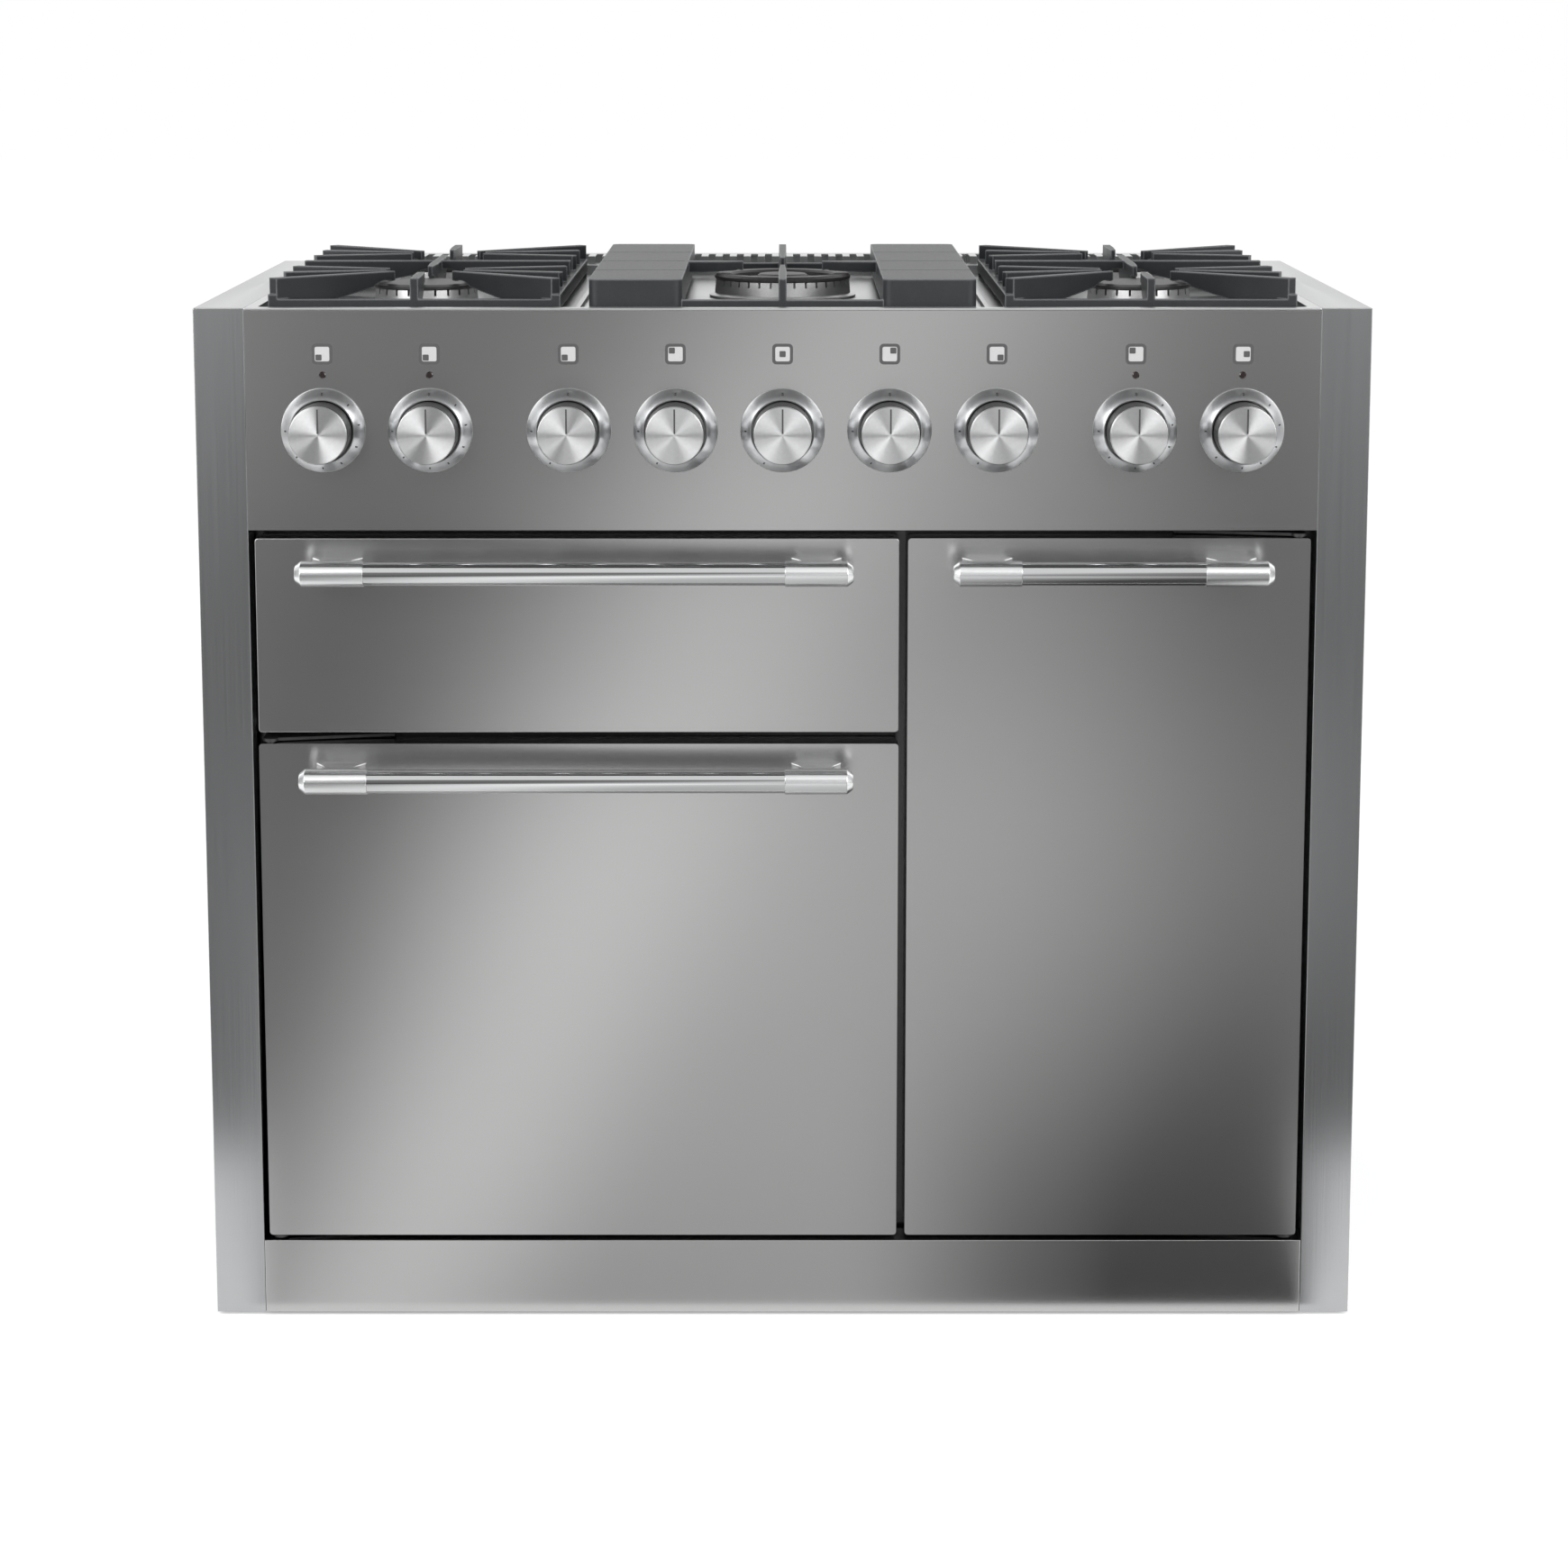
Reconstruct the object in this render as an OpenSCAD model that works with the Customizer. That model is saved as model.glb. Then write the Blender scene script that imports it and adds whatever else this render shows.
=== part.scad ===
// Range cooker with five gas burners, a glide-out grill and two side-hinged ovens.
// Millimetres. +X is the cooker's right, the fronts face -Y, +Z is up.
// The origin is on the floor, under the middle of the whole cooker with its handles.

/* [Body] */
// Width over both side panels
body_w = 1000; // [960:5:1100]
// Depth from the fronts to the back edge
body_d = 600; // [590:5:650]
// Height of the worktop rim above the floor
worktop_z = 891; // [886:1:915]
// Width of the front return of each side panel
side_w = 43; // [36:1:50]
// Thickness of the folded sheet metal
sheet = 1.5; // [1:0.1:2]
// Height of the panels above the floor
foot_gap = 3; // [2:0.5:12]

/* [Fronts] */
// Height of the plinth
plinth_h = 66; // [55:1:75]
// Height of the control fascia
fascia_h = 188; // [175:1:195]
// Width of the left column of fronts
left_w = 552; // [530:1:560]
// Height of the grill drawer front
drawer_h = 169; // [163:1:180]
// Gap at the outer edges of the fronts
edge_gap = 5; // [4.5:0.1:6]
// Gap between the two columns
mid_gap = 7.5; // [5:0.5:12]
// Gap under the control fascia
top_gap = 7; // [5:0.5:9]
// Gap between grill drawer and left door
drawer_gap = 10; // [8:0.5:12]
// Gap over the plinth
low_gap = 5; // [4.5:0.1:7]
// Depth of the stainless outer tray of a front
skin_d = 20; // [18:0.5:24]
// Depth of the inner dish behind it
dish_d = 18; // [14:0.5:22]
// Room for the seal between door and front frame
seal_room = 4; // [3.5:0.1:6]
// Corner radius of the fronts
front_r = 3; // [1:0.5:6]

/* [Handles] */
// Length of the left handles
long_handle = 472; // [380:1:510]
// Length of the right handle
short_handle = 271; // [220:1:310]
// Distance of the bar's axis from the front
handle_out = 45; // [40:1:52]
// Distance of the bar's axis from the top edge of its front
handle_drop = 24; // [20:1:32]
// Radius of the bar
bar_r = 10; // [7:0.5:10]
// Radius of the end sleeves
sleeve_r = 11; // [10.8:0.1:14]
// Length of the end sleeves
sleeve_l = 58; // [50:1:70]

/* [Controls] */
// Pitch of neighbouring knobs
knob_pitch = 91; // [86:1:95]
// Pitch from a gas knob to the next group
group_pitch = 118; // [105:1:120]
// Height of the knob axes above the fascia's lower edge
knob_up = 86; // [70:1:100]
// Radius of a knob
knob_r = 25.5; // [24:0.5:29]
// Distance of the knob's face from the fascia
knob_out = 42; // [38:1:46]
// Outer radius of the bezels
bezel_r = 36; // [34:0.5:38]
// Height of the bezels
bezel_h = 12; // [9:0.5:14]
// Radius of the control spindles
spindle_r = 3; // [2.5:0.1:4]
// Way that a gas knob pushes in
push_travel = 3.5; // [2:0.5:4]

/* [Hob] */
// Height of the pan supports above the worktop rim
grate_up = 22; // [18:1:30]
// Depth of the spill tray below the rim
tray_deep = 10; // [8:1:14]
// Gap between neighbouring pan supports
grate_gap = 25; // [15:1:40]
// Length of a side pan support
side_grate_l = 458; // [430:1:480]
// Width of the centre pan support
mid_grate_w = 332; // [300:1:340]
// Length of the centre pan support
mid_grate_l = 484; // [450:1:490]
// Width of its resting pads
pad_w = 80; // [60:1:88]
// Distance of each side burner from the middle of its pan support
burner_step = 113; // [105:1:120]
// Radius of a side burner's crown
crown_r = 46; // [38:1:50]
// Outer radius of the centre burner's crown
wok_r = 62; // [55:1:68]
// Height of the rear vent above the rim
vent_up = 8; // [3:1:12]
// Depth of the rear vent strip
vent_d = 52; // [45:1:56]
// Pitch of the vent slots
vent_pitch = 14; // [12:0.5:20]

/* [Ovens] */
// Depth of the oven cavities
cavity_d = 400; // [380:5:420]
// Distance of the cavity walls from the sides of the door
cavity_in_x = 35; // [32:1:45]
// Distance of the cavity walls from top and bottom of the door
cavity_in_z = 38; // [34:1:45]
// Distance of the fan cover from the back wall
fan_room = 40; // [36:1:50]
// Radius of the fan blades
fan_r = 72; // [60:1:80]
// Number of shelves in the tall oven
tall_shelves = 4; // [2:1:5]
// Number of shelves in the wide oven
wide_shelves = 2; // [1:1:3]
// Way that the grill drawer glides out
grill_travel = 300; // [200:10:310]

/* [Hidden] */
$fn = 64;

// Planes from front to back
handle_reach = handle_out + sleeve_r;
front_y = handle_reach - (body_d + handle_reach) / 2;
back_y = front_y + body_d;
door_t = skin_d + dish_d;
frame_y = front_y + door_t + seal_room;
frame_t = 2;
cavity_y = frame_y + frame_t;
cavity_back = cavity_y + cavity_d;
back_recess = 20;
back_panel_y = back_y - back_recess;

// Widths
half_w = body_w / 2;
inner_x = half_w - side_w;
left_x0 = -inner_x + edge_gap;
left_x1 = left_x0 + left_w;
right_x0 = left_x1 + mid_gap;
right_x1 = inner_x - edge_gap;

// Heights
lip = 2;
plinth_z1 = foot_gap + plinth_h;
door_z0 = plinth_z1 + low_gap;
fascia_z1 = worktop_z - lip;
fascia_z0 = fascia_z1 - fascia_h;
drawer_z1 = fascia_z0 - top_gap;
drawer_z0 = drawer_z1 - drawer_h;
left_door_z1 = drawer_z0 - drawer_gap;
right_door_z1 = drawer_z1;

// Clearances
run = 0.05;
seat = 0.3;
bearing = 0.5;

// Cavities, as [x0, x1, z0, z1] inside the walls
grill_in_z0 = 16;
grill_in_z1 = 14;
left_cav = [left_x0 + cavity_in_x, left_x1 - cavity_in_x,
            door_z0 + cavity_in_z, left_door_z1 - cavity_in_z];
right_cav = [right_x0 + cavity_in_x, right_x1 - cavity_in_x,
             door_z0 + cavity_in_z, right_door_z1 - cavity_in_z];
grill_cav = [left_cav[0], left_cav[1], drawer_z0 + grill_in_z0, drawer_z1 - grill_in_z1];

// Block between two corners
module box(x0, x1, y0, y1, z0, z1) {
    translate([x0, y0, z0])
        cube([x1 - x0, y1 - y0, z1 - z0]);
}

// Round bars along each axis
module x_rod(x0, x1, y, z, r) {
    translate([x0, y, z])
        rotate([0, 90, 0])
            cylinder(h = x1 - x0, r = r);
}

module y_rod(x, y0, y1, z, r) {
    translate([x, y1, z])
        rotate([90, 0, 0])
            cylinder(h = y1 - y0, r = r);
}

module z_rod(x, y, z0, z1, r) {
    translate([x, y, z0])
        cylinder(h = z1 - z0, r = r);
}

// Solid of revolution about an axis along -Y; the profile's height points out of the front
module turned(x, y, z) {
    translate([x, y, z])
        rotate([90, 0, 0])
            rotate_extrude()
                children();
}

// Rectangle with round corners
module rounded(x0, x1, y0, y1, r) {
    translate([x0 + r, y0])
        square([x1 - x0 - 2 * r, y1 - y0]);
    translate([x0, y0 + r])
        square([x1 - x0, y1 - y0 - 2 * r]);
    for (x = [x0 + r, x1 - r])
        for (y = [y0 + r, y1 - r])
            translate([x, y])
                circle(r = r);
}

// Upright plate with round corners, seen from the front
module upright(x0, x1, y0, y1, z0, z1, r) {
    translate([0, y1, 0])
        rotate([90, 0, 0])
            linear_extrude(y1 - y0)
                rounded(x0, x1, z0, z1, r);
}

// Level plate with round corners, seen from above
module level(x0, x1, y0, y1, z0, z1, r) {
    translate([0, 0, z0])
        linear_extrude(z1 - z0)
            rounded(x0, x1, y0, y1, r);
}

// Casing

// Folded side sheet: outer wall, front, top, bottom and rear returns, and inner lips
module side_panel(side) {
    color("lightslategray")
        mirror([side > 0 ? 1 : 0, 0, 0]) {
            box(-half_w, -half_w + sheet, front_y, back_y, foot_gap, worktop_z);
            box(-half_w, -inner_x, front_y, front_y + sheet, foot_gap, worktop_z);
            box(-half_w, -inner_x, back_y - sheet, back_y, foot_gap, worktop_z);
            box(-half_w, -inner_x, front_y, back_y, worktop_z - sheet, worktop_z);
            box(-half_w, -inner_x, front_y, back_y, foot_gap, foot_gap + sheet);
            box(-inner_x - sheet, -inner_x, front_y, cavity_y, foot_gap, worktop_z);
            box(-inner_x - sheet, -inner_x, back_panel_y - side_w, back_y, foot_gap, worktop_z);
        }
}

louvre_w = 90;
louvre_h = 5;
louvre_pitch = 14;
louvre_rows = 8;
louvre_z = worktop_z - 220;
inlet_r = 10.48;
inlet_x = inner_x - 60;
inlet_z = worktop_z - 60;
cable_r = 11;
cable_x = -inner_x + 70;
cable_z = worktop_z - 120;
back_z0 = foot_gap + 40;
back_z1 = worktop_z - 16;

// Galvanised back sheet with louvres, the gas inlet hole and the cable entry hole
module back_panel() {
    color("silver")
        difference() {
            box(-inner_x, inner_x, back_panel_y, back_panel_y + sheet, back_z0, back_z1);
            for (column = [-1.5:1:1.5])
                for (row = [0:louvre_rows - 1])
                    translate([column * (louvre_w + 60), 0, louvre_z - row * louvre_pitch])
                        upright(-louvre_w / 2, louvre_w / 2, back_panel_y - 1, back_panel_y + sheet + 1,
                                -louvre_h / 2, louvre_h / 2, louvre_h / 2 - 0.1);
            y_rod(inlet_x, back_panel_y - 1, back_panel_y + sheet + 1, inlet_z, inlet_r + 2);
            y_rod(cable_x, back_panel_y - 1, back_panel_y + sheet + 1, cable_z, cable_r);
        }
}

base_z = foot_gap + 27;
foot_x = inner_x - 30;
foot_y0 = front_y + 75;
foot_y1 = back_panel_y - 50;
stem_r = 5;
foot_r = 18;

// Chassis floor: a sheet with a turned-down rim, holed for the feet
module base_tray() {
    color("gray")
        difference() {
            box(-inner_x, inner_x, frame_y + frame_t, back_panel_y, foot_gap + 5, base_z + sheet);
            box(-inner_x + sheet, inner_x - sheet, frame_y + frame_t + sheet, back_panel_y - sheet,
                foot_gap, base_z);
            for (x = [-foot_x, foot_x])
                for (y = [foot_y0, foot_y1])
                    z_rod(x, y, base_z - 1, base_z + sheet + 1, stem_r + run);
        }
}

// Screw feet: a pad, a threaded stem and the lock nut under the chassis floor
module levelling_feet() {
    color("dimgray")
        for (x = [-foot_x, foot_x])
            for (y = [foot_y0, foot_y1])
                translate([x, y, 0]) {
                    rotate_extrude()
                        polygon([[0, 0], [foot_r - 2, 0], [foot_r, 2], [foot_r, 6], [stem_r + 2, 10], [0, 10]]);
                    cylinder(h = base_z + 22, r = stem_r);
                    translate([0, 0, base_z - 8])
                        cylinder(h = 8 - run, r = 9, $fn = 6);
                }
}

// Kick panel with folded ends and top
module plinth() {
    color("silver")
        difference() {
            box(-inner_x, inner_x, front_y, front_y + 34, foot_gap, plinth_z1);
            box(-inner_x + sheet, inner_x - sheet, front_y + sheet, front_y + 35,
                foot_gap - 1, plinth_z1 - sheet);
        }
}

// Black enamelled plate behind the fronts, with the three mouths
module front_frame() {
    color("black")
        difference() {
            box(-inner_x, inner_x, frame_y, frame_y + frame_t, foot_gap + 5, fascia_z0 + sheet);
            for (c = [left_cav, right_cav, grill_cav])
                upright(c[0], c[1], frame_y - 1, frame_y + frame_t + 1, c[2], c[3], 6);
        }
}

knob_z = fascia_z0 + knob_up;
gas_x = [-2 * knob_pitch, -knob_pitch, 0, knob_pitch, 2 * knob_pitch];
inner_x_knob = 2 * knob_pitch + group_pitch;
outer_x_knob = inner_x_knob + knob_pitch;
knob_x = concat([-outer_x_knob, -inner_x_knob], gas_x, [inner_x_knob, outer_x_knob]);
oven_knobs = [0, 1, 7, 8];
lamp_up = knob_up + 47;
lamp_r = 3;
flange_t = 2;

// Folded stainless control panel: face, top return, and bottom return over the doors
module control_fascia() {
    color("silver")
        difference() {
            union() {
                box(-inner_x, inner_x, front_y, front_y + sheet, fascia_z0, fascia_z1);
                box(-inner_x, inner_x, front_y, tray_y0 - sheet - seat, fascia_z1 - sheet, fascia_z1);
                box(-inner_x, inner_x, front_y, frame_y - flange_t - seat, fascia_z0, fascia_z0 + sheet);
            }
            for (x = knob_x)
                y_rod(x, front_y - 1, front_y + sheet + 1, knob_z, spindle_r + 3);
            for (i = oven_knobs)
                y_rod(knob_x[i], front_y - 1, front_y + sheet + 1, fascia_z0 + lamp_up, lamp_r + run);
        }
}

groove_r = knob_r + 1.2;
bezel_floor = 2;

// Nine chromed cones, each with a floor that the spindle passes through
module knob_bezels() {
    color("gainsboro")
        for (x = knob_x)
            turned(x, front_y, knob_z)
                polygon([[spindle_r + 3, 0], [bezel_r, 0], [bezel_r, 2], [bezel_r - 0.6, 3],
                         [groove_r + 2.4, bezel_h], [groove_r + 0.4, bezel_h],
                         [groove_r, bezel_h - 0.4], [groove_r, bezel_floor],
                         [spindle_r + 3, bezel_floor]]);
}

// Neon lenses, held from behind by a collar
module indicator_lamps() {
    color("darkred")
        for (i = oven_knobs)
            turned(knob_x[i], front_y + sheet + 12, fascia_z0 + lamp_up)
                polygon([[0, 0], [4, 0], [4, 12], [lamp_r, 12], [lamp_r, 12 + sheet + 0.2],
                         [lamp_r - 0.8, 12 + sheet + 0.8], [0, 12 + sheet + 0.8]]);
}

// Controls

knob_skirt = bezel_floor + push_travel + 0.5;
bore_deep = 26;

// Turned aluminium cup with a pointer groove in its face and a boss on the spindle
module knob_cup(i) {
    difference() {
        turned(knob_x[i - 1], front_y, knob_z)
            polygon([[0, knob_skirt + 4], [9, knob_skirt + 4], [9, knob_out - 6],
                     [knob_r - 3, knob_out - 6], [knob_r - 2, knob_skirt], [knob_r, knob_skirt],
                     [knob_r - 0.6, knob_out - 1.6], [knob_r - 1.8, knob_out - 0.4],
                     [knob_r - 3, knob_out], [0, knob_out - 0.8]]);
        box(knob_x[i - 1] - 0.8, knob_x[i - 1] + 0.8, front_y - knob_out - 1,
            front_y - knob_out + 1.6, knob_z + 6, knob_z + knob_r - 3.5);
    }
}

tap_y = front_y + 25;
tap_w = 26;
tap_l = 48;
spindle_tip = knob_skirt + 4 + bore_deep;

// Gas knobs have a bore for the sliding spindle, oven knobs their own shaft
module knob(i) {
    color("silver")
        if (i > 2 && i < 8) {
            difference() {
                knob_cup(i);
                y_rod(knob_x[i - 1], front_y - spindle_tip, front_y, knob_z, spindle_r + run);
            }
        } else {
            knob_cup(i);
            y_rod(knob_x[i - 1], front_y - spindle_tip, tap_y + tap_l / 2, knob_z, spindle_r);
        }
}

// Sliding spindle of a gas tap
module tap_spindle(i) {
    color("goldenrod")
        y_rod(knob_x[i - 1], front_y - spindle_tip + seat, tap_y + tap_l / 2, knob_z, spindle_r);
}

elbow = 1.3;
rail_r = 8;
rail_y = tap_y + tap_l + rail_r - 1;
pipe_r = 4;
pipe_z = worktop_z - 52;
pipe_step = 14;
inlet_l = 15;

// Feed pipe from a tap up, across and back to its burner, with an elbow fitting at each bend;
// the pipes of row 1 run in front of and below those of row 0
module feed_pipe(x, burner, row) {
    start_y = tap_y + tap_l - 2 * pipe_r - row * pipe_step;
    z = pipe_z - row * pipe_step;
    z_rod(x, start_y, knob_z + tap_w / 2 - 1, z, pipe_r);
    if (burner[0] != x)
        x_rod(min(x, burner[0]), max(x, burner[0]), start_y, z, pipe_r);
    y_rod(burner[0], start_y, burner[1], z, pipe_r);
    z_rod(burner[0], burner[1], z, cup_z - seat / 3, pipe_r);
    for (bend = [[x, start_y], [burner[0], start_y], [burner[0], burner[1]]])
        translate([bend[0], bend[1], z])
            sphere(r = pipe_r * elbow);
}

// Gas rail with its taps, burner pipes and the threaded inlet at the back
module gas_rail() {
    color("darkgoldenrod")
        difference() {
            union() {
                x_rod(-2 * knob_pitch - 30, inlet_x, rail_y, knob_z, rail_r);
                translate([inlet_x, rail_y, knob_z])
                    sphere(r = rail_r * elbow);
                z_rod(inlet_x, rail_y, knob_z, inlet_z, rail_r);
                translate([inlet_x, rail_y, inlet_z])
                    sphere(r = rail_r * elbow);
                y_rod(inlet_x, rail_y, back_panel_y - 6, inlet_z, rail_r);
                y_rod(inlet_x, back_panel_y - 6, back_panel_y - seat, inlet_z, inlet_r + 4);
                y_rod(inlet_x, back_panel_y - 2, back_panel_y + sheet + inlet_l, inlet_z, inlet_r);
                for (x = gas_x)
                    box(x - tap_w / 2, x + tap_w / 2, tap_y, tap_y + tap_l,
                        knob_z - tap_w / 2, knob_z + tap_w / 2);
                for (i = [0:4])
                    feed_pipe(gas_x[i], burners[i], i % 2);
            }
            for (x = gas_x)
                y_rod(x, tap_y - 1, tap_y + tap_l / 2 + push_travel + 1, knob_z, spindle_r + run);
            y_rod(inlet_x, back_panel_y - 20, back_panel_y + sheet + inlet_l + 1, inlet_z, inlet_r - 4);
        }
}

// Thermostats and selectors behind the oven and grill knobs
module oven_switches() {
    color("whitesmoke")
        for (i = oven_knobs)
            difference() {
                union() {
                    y_rod(knob_x[i], tap_y, tap_y + 40, knob_z, 21);
                    box(knob_x[i] - 16, knob_x[i] + 16, front_y + sheet, tap_y + 1, knob_z - 5, knob_z + 5);
                    box(knob_x[i] - 14, knob_x[i] + 14, tap_y + 39, rail_y - rail_r * elbow - seat,
                        knob_z - 9, knob_z + 9);
                }
                y_rod(knob_x[i], front_y, tap_y + tap_l / 2 + seat, knob_z, spindle_r + run);
            }
}

// Hob

tray_z = worktop_z - tray_deep;
tray_edge = 10;
tray_y0 = front_y + 12;
tray_y1 = back_y - vent_d - 12;
grate_z = worktop_z + grate_up;
hob_edge = 15;
side_grate_w = inner_x - hob_edge - grate_gap - mid_grate_w / 2;
side_grate_x = inner_x - hob_edge - side_grate_w / 2;
grate_y = (tray_y0 + tray_y1) / 2;
wok_forward = 8;
wok_y = grate_y - wok_forward;
burners = [[-side_grate_x, grate_y - burner_step], [-side_grate_x, grate_y + burner_step],
           [0, wok_y],
           [side_grate_x, grate_y + burner_step], [side_grate_x, grate_y - burner_step]];
cup_z = tray_z - 24;

// Radius of the tray's hole for a burner
function hole_r(b) = (b[0] == 0 ? wok_r : crown_r) - 14;

rib_x = (side_grate_x - side_grate_w / 2 + mid_grate_w / 2) / 2;

// Pressed stainless top: rim, sunk floor, two ribs, and a hole for each burner
module hob_tray() {
    color("gainsboro")
        difference() {
            union() {
                level(-inner_x, inner_x, front_y, back_y - vent_d, worktop_z - lip, worktop_z, 1);
                level(-inner_x + tray_edge - sheet, inner_x - tray_edge + sheet, tray_y0 - sheet,
                      tray_y1 + sheet, tray_z - sheet, worktop_z - lip + 0.5, 9 + sheet);
            }
            difference() {
                level(-inner_x + tray_edge, inner_x - tray_edge, tray_y0, tray_y1,
                      tray_z, worktop_z + 1, 9);
                for (x = [-rib_x, rib_x])
                    box(x - 2.5, x + 2.5, tray_y0 + 20, tray_y1 - 20, tray_z - 1, tray_z + 4);
            }
            for (b = burners)
                z_rod(b[0], b[1], tray_z - 5, tray_z + 5, hole_r(b));
        }
}

vent_y0 = back_y - vent_d;
vent_z1 = worktop_z + vent_up;
vent_half = inner_x - 2;
vent_count = floor((2 * vent_half - 20) / vent_pitch);

// Flue strip with a row of slots through its front edge and top
module rear_vent() {
    color("silver")
        difference() {
            box(-vent_half, vent_half, vent_y0, back_y - 1, back_z1, vent_z1);
            box(-vent_half - 1, vent_half + 1, vent_y0 + sheet, back_y - 1 - sheet,
                back_z1 - 1, vent_z1 - sheet);
            for (i = [0:vent_count - 1])
                box((i - (vent_count - 1) / 2) * vent_pitch - vent_pitch / 4,
                    (i - (vent_count - 1) / 2) * vent_pitch + vent_pitch / 4,
                    vent_y0 - 1, vent_y0 + vent_d * 0.7, worktop_z + 1, vent_z1 + 1);
        }
}

flame_h = grate_z - tray_z - 16;
port_count = 24;
port_w = 2;

// Ring with flame ports cut through its upper part
module crown(r, inner_r, ports) {
    difference() {
        rotate_extrude()
            polygon([[inner_r, 0], [r + 4, 0], [r + 5, 1], [r + 5, 2], [r, 3.5], [r - 1, flame_h],
                     [inner_r, flame_h]]);
        for (i = [0:ports - 1])
            rotate(i * 360 / ports)
                translate([inner_r - 1, -port_w / 2, flame_h - 5])
                    cube([r - inner_r + 3, port_w, 6]);
    }
}

// Cast aluminium burner: gas cup under the tray and crown above it
module burner_bases() {
    color("lightgray")
        for (b = burners)
            translate([b[0], b[1], tray_z]) {
                r = b[0] == 0 ? wok_r : crown_r;
                floor_r = hole_r(b) - run;
                inner_r = min(floor_r - 3, r - 12);
                translate([0, 0, cup_z - tray_z])
                    difference() {
                        cylinder(h = tray_z - cup_z + 2, r = floor_r);
                        translate([0, 0, 4])
                            cylinder(h = tray_z - cup_z, r = floor_r - 3);
                    }
                translate([0, 0, run])
                    crown(r, inner_r, b[0] == 0 ? port_count * 1.5 : port_count);
                if (b[0] == 0) {
                    crown(22, 10, 12);
                    translate([0, 0, cup_z - tray_z + 2])
                        cylinder(h = tray_z - cup_z, r = 15);
                    box(-inner_r - 1, inner_r + 1, -6, 6, -4, 2.5);
                }
            }
}

cap_t = 5;
wok_band = 16;
wok_top = tray_z + flame_h + seat + cap_t;

// Enamelled caps: one disc on each side burner, a ring and a button on the centre burner
module burner_caps() {
    color("dimgray")
        for (b = burners)
            translate([b[0], b[1], tray_z + flame_h + seat]) {
                if (b[0] != 0)
                    rotate_extrude()
                        polygon([[0, 0], [crown_r - 1, 0], [crown_r, 1], [crown_r, 3],
                                 [crown_r - 3, cap_t - 0.4], [0, cap_t + 1]]);
                if (b[0] == 0) {
                    rotate_extrude()
                        polygon([[wok_r - wok_band, 0], [wok_r - 1, 0], [wok_r, 1], [wok_r, 3],
                                 [wok_r - 2, cap_t], [wok_r - wok_band + 2, cap_t], [wok_r - wok_band, 3]]);
                    rotate_extrude()
                        polygon([[0, 0], [22, 0], [23, 1], [23, 3], [21, cap_t - 0.4], [0, cap_t + 1]]);
                }
            }
}

finger_t = 7;
root_z = worktop_z - 4;
rail_w = 8;

// Cast finger along +X from its root: flat top, hollow underside, sides that taper to the tip
module finger(length, root_h, tip_h, root_t, tip_t) {
    intersection() {
        rotate([90, 0, 0])
            linear_extrude(root_t + 4, center = true)
                difference() {
                    polygon([[0, -root_h], [length * 0.3, -root_h], [length, -tip_h], [length, 0], [0, 0]]);
                    translate([length * 0.92, -root_h - tip_h * 0.4])
                        circle(r = root_h - tip_h * 0.55);
                }
        translate([0, 0, -root_h - 1])
            linear_extrude(root_h + 2)
                polygon([[0, -root_t / 2], [length * 0.55, -root_t / 2], [length, -tip_t / 2],
                         [length, tip_t / 2], [length * 0.55, root_t / 2], [0, root_t / 2]]);
    }
}

blade_rows = [-1, -0.66, -0.32, 0, 0.32, 0.66, 1];
tip_gap = 36;

// Side pan support: two side rails, low cross rails, leaf fingers, five lengthwise fingers, feet
module side_pan_support(side) {
    half_x = side_grate_w / 2 - rail_w / 2;
    half_y = side_grate_l / 2 - rail_w / 2;
    root_h = grate_z - root_z;
    color("dimgray")
        translate([side * side_grate_x, grate_y, 0]) {
            for (s = [-1, 1]) {
                box(s * half_x - rail_w / 2, s * half_x + rail_w / 2, -half_y - rail_w / 2,
                    half_y + rail_w / 2, root_z, root_z + 12);
                box(-half_x, half_x, s * half_y - rail_w / 2, s * half_y + rail_w / 2,
                    root_z, root_z + 8);
                translate([0, s * (half_y + rail_w / 2), grate_z])
                    rotate(-90 * s)
                        finger(half_y + rail_w / 2 - burner_step - tip_gap, root_h, 9, finger_t, 4);
                for (row = blade_rows) {
                    reach = [half_x, sign(row) * burner_step - row * half_y];
                    turn = atan2(reach[1], reach[0]);
                    span = norm(reach) - (row == 0 ? -2 : tip_gap);
                    translate([-s * half_x, row * half_y, grate_z])
                        mirror([s > 0 ? 0 : 1, 0, 0])
                            rotate(turn)
                                finger(span, root_h, 8, finger_t + 3, 4);
                }
                for (t = [-1, 1])
                    z_rod(s * half_x, t * half_y, tray_z + seat, root_z + 4, rail_w / 2 - 0.5);
            }
            for (s = [-1, 1])
                translate([0, 0, grate_z])
                    rotate(90 * s)
                        finger(burner_step - tip_gap, root_h, 9, finger_t, 4);
        }
}

pad_skin = 6;
groove_w = 4;
groove_deep = 2;

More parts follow.
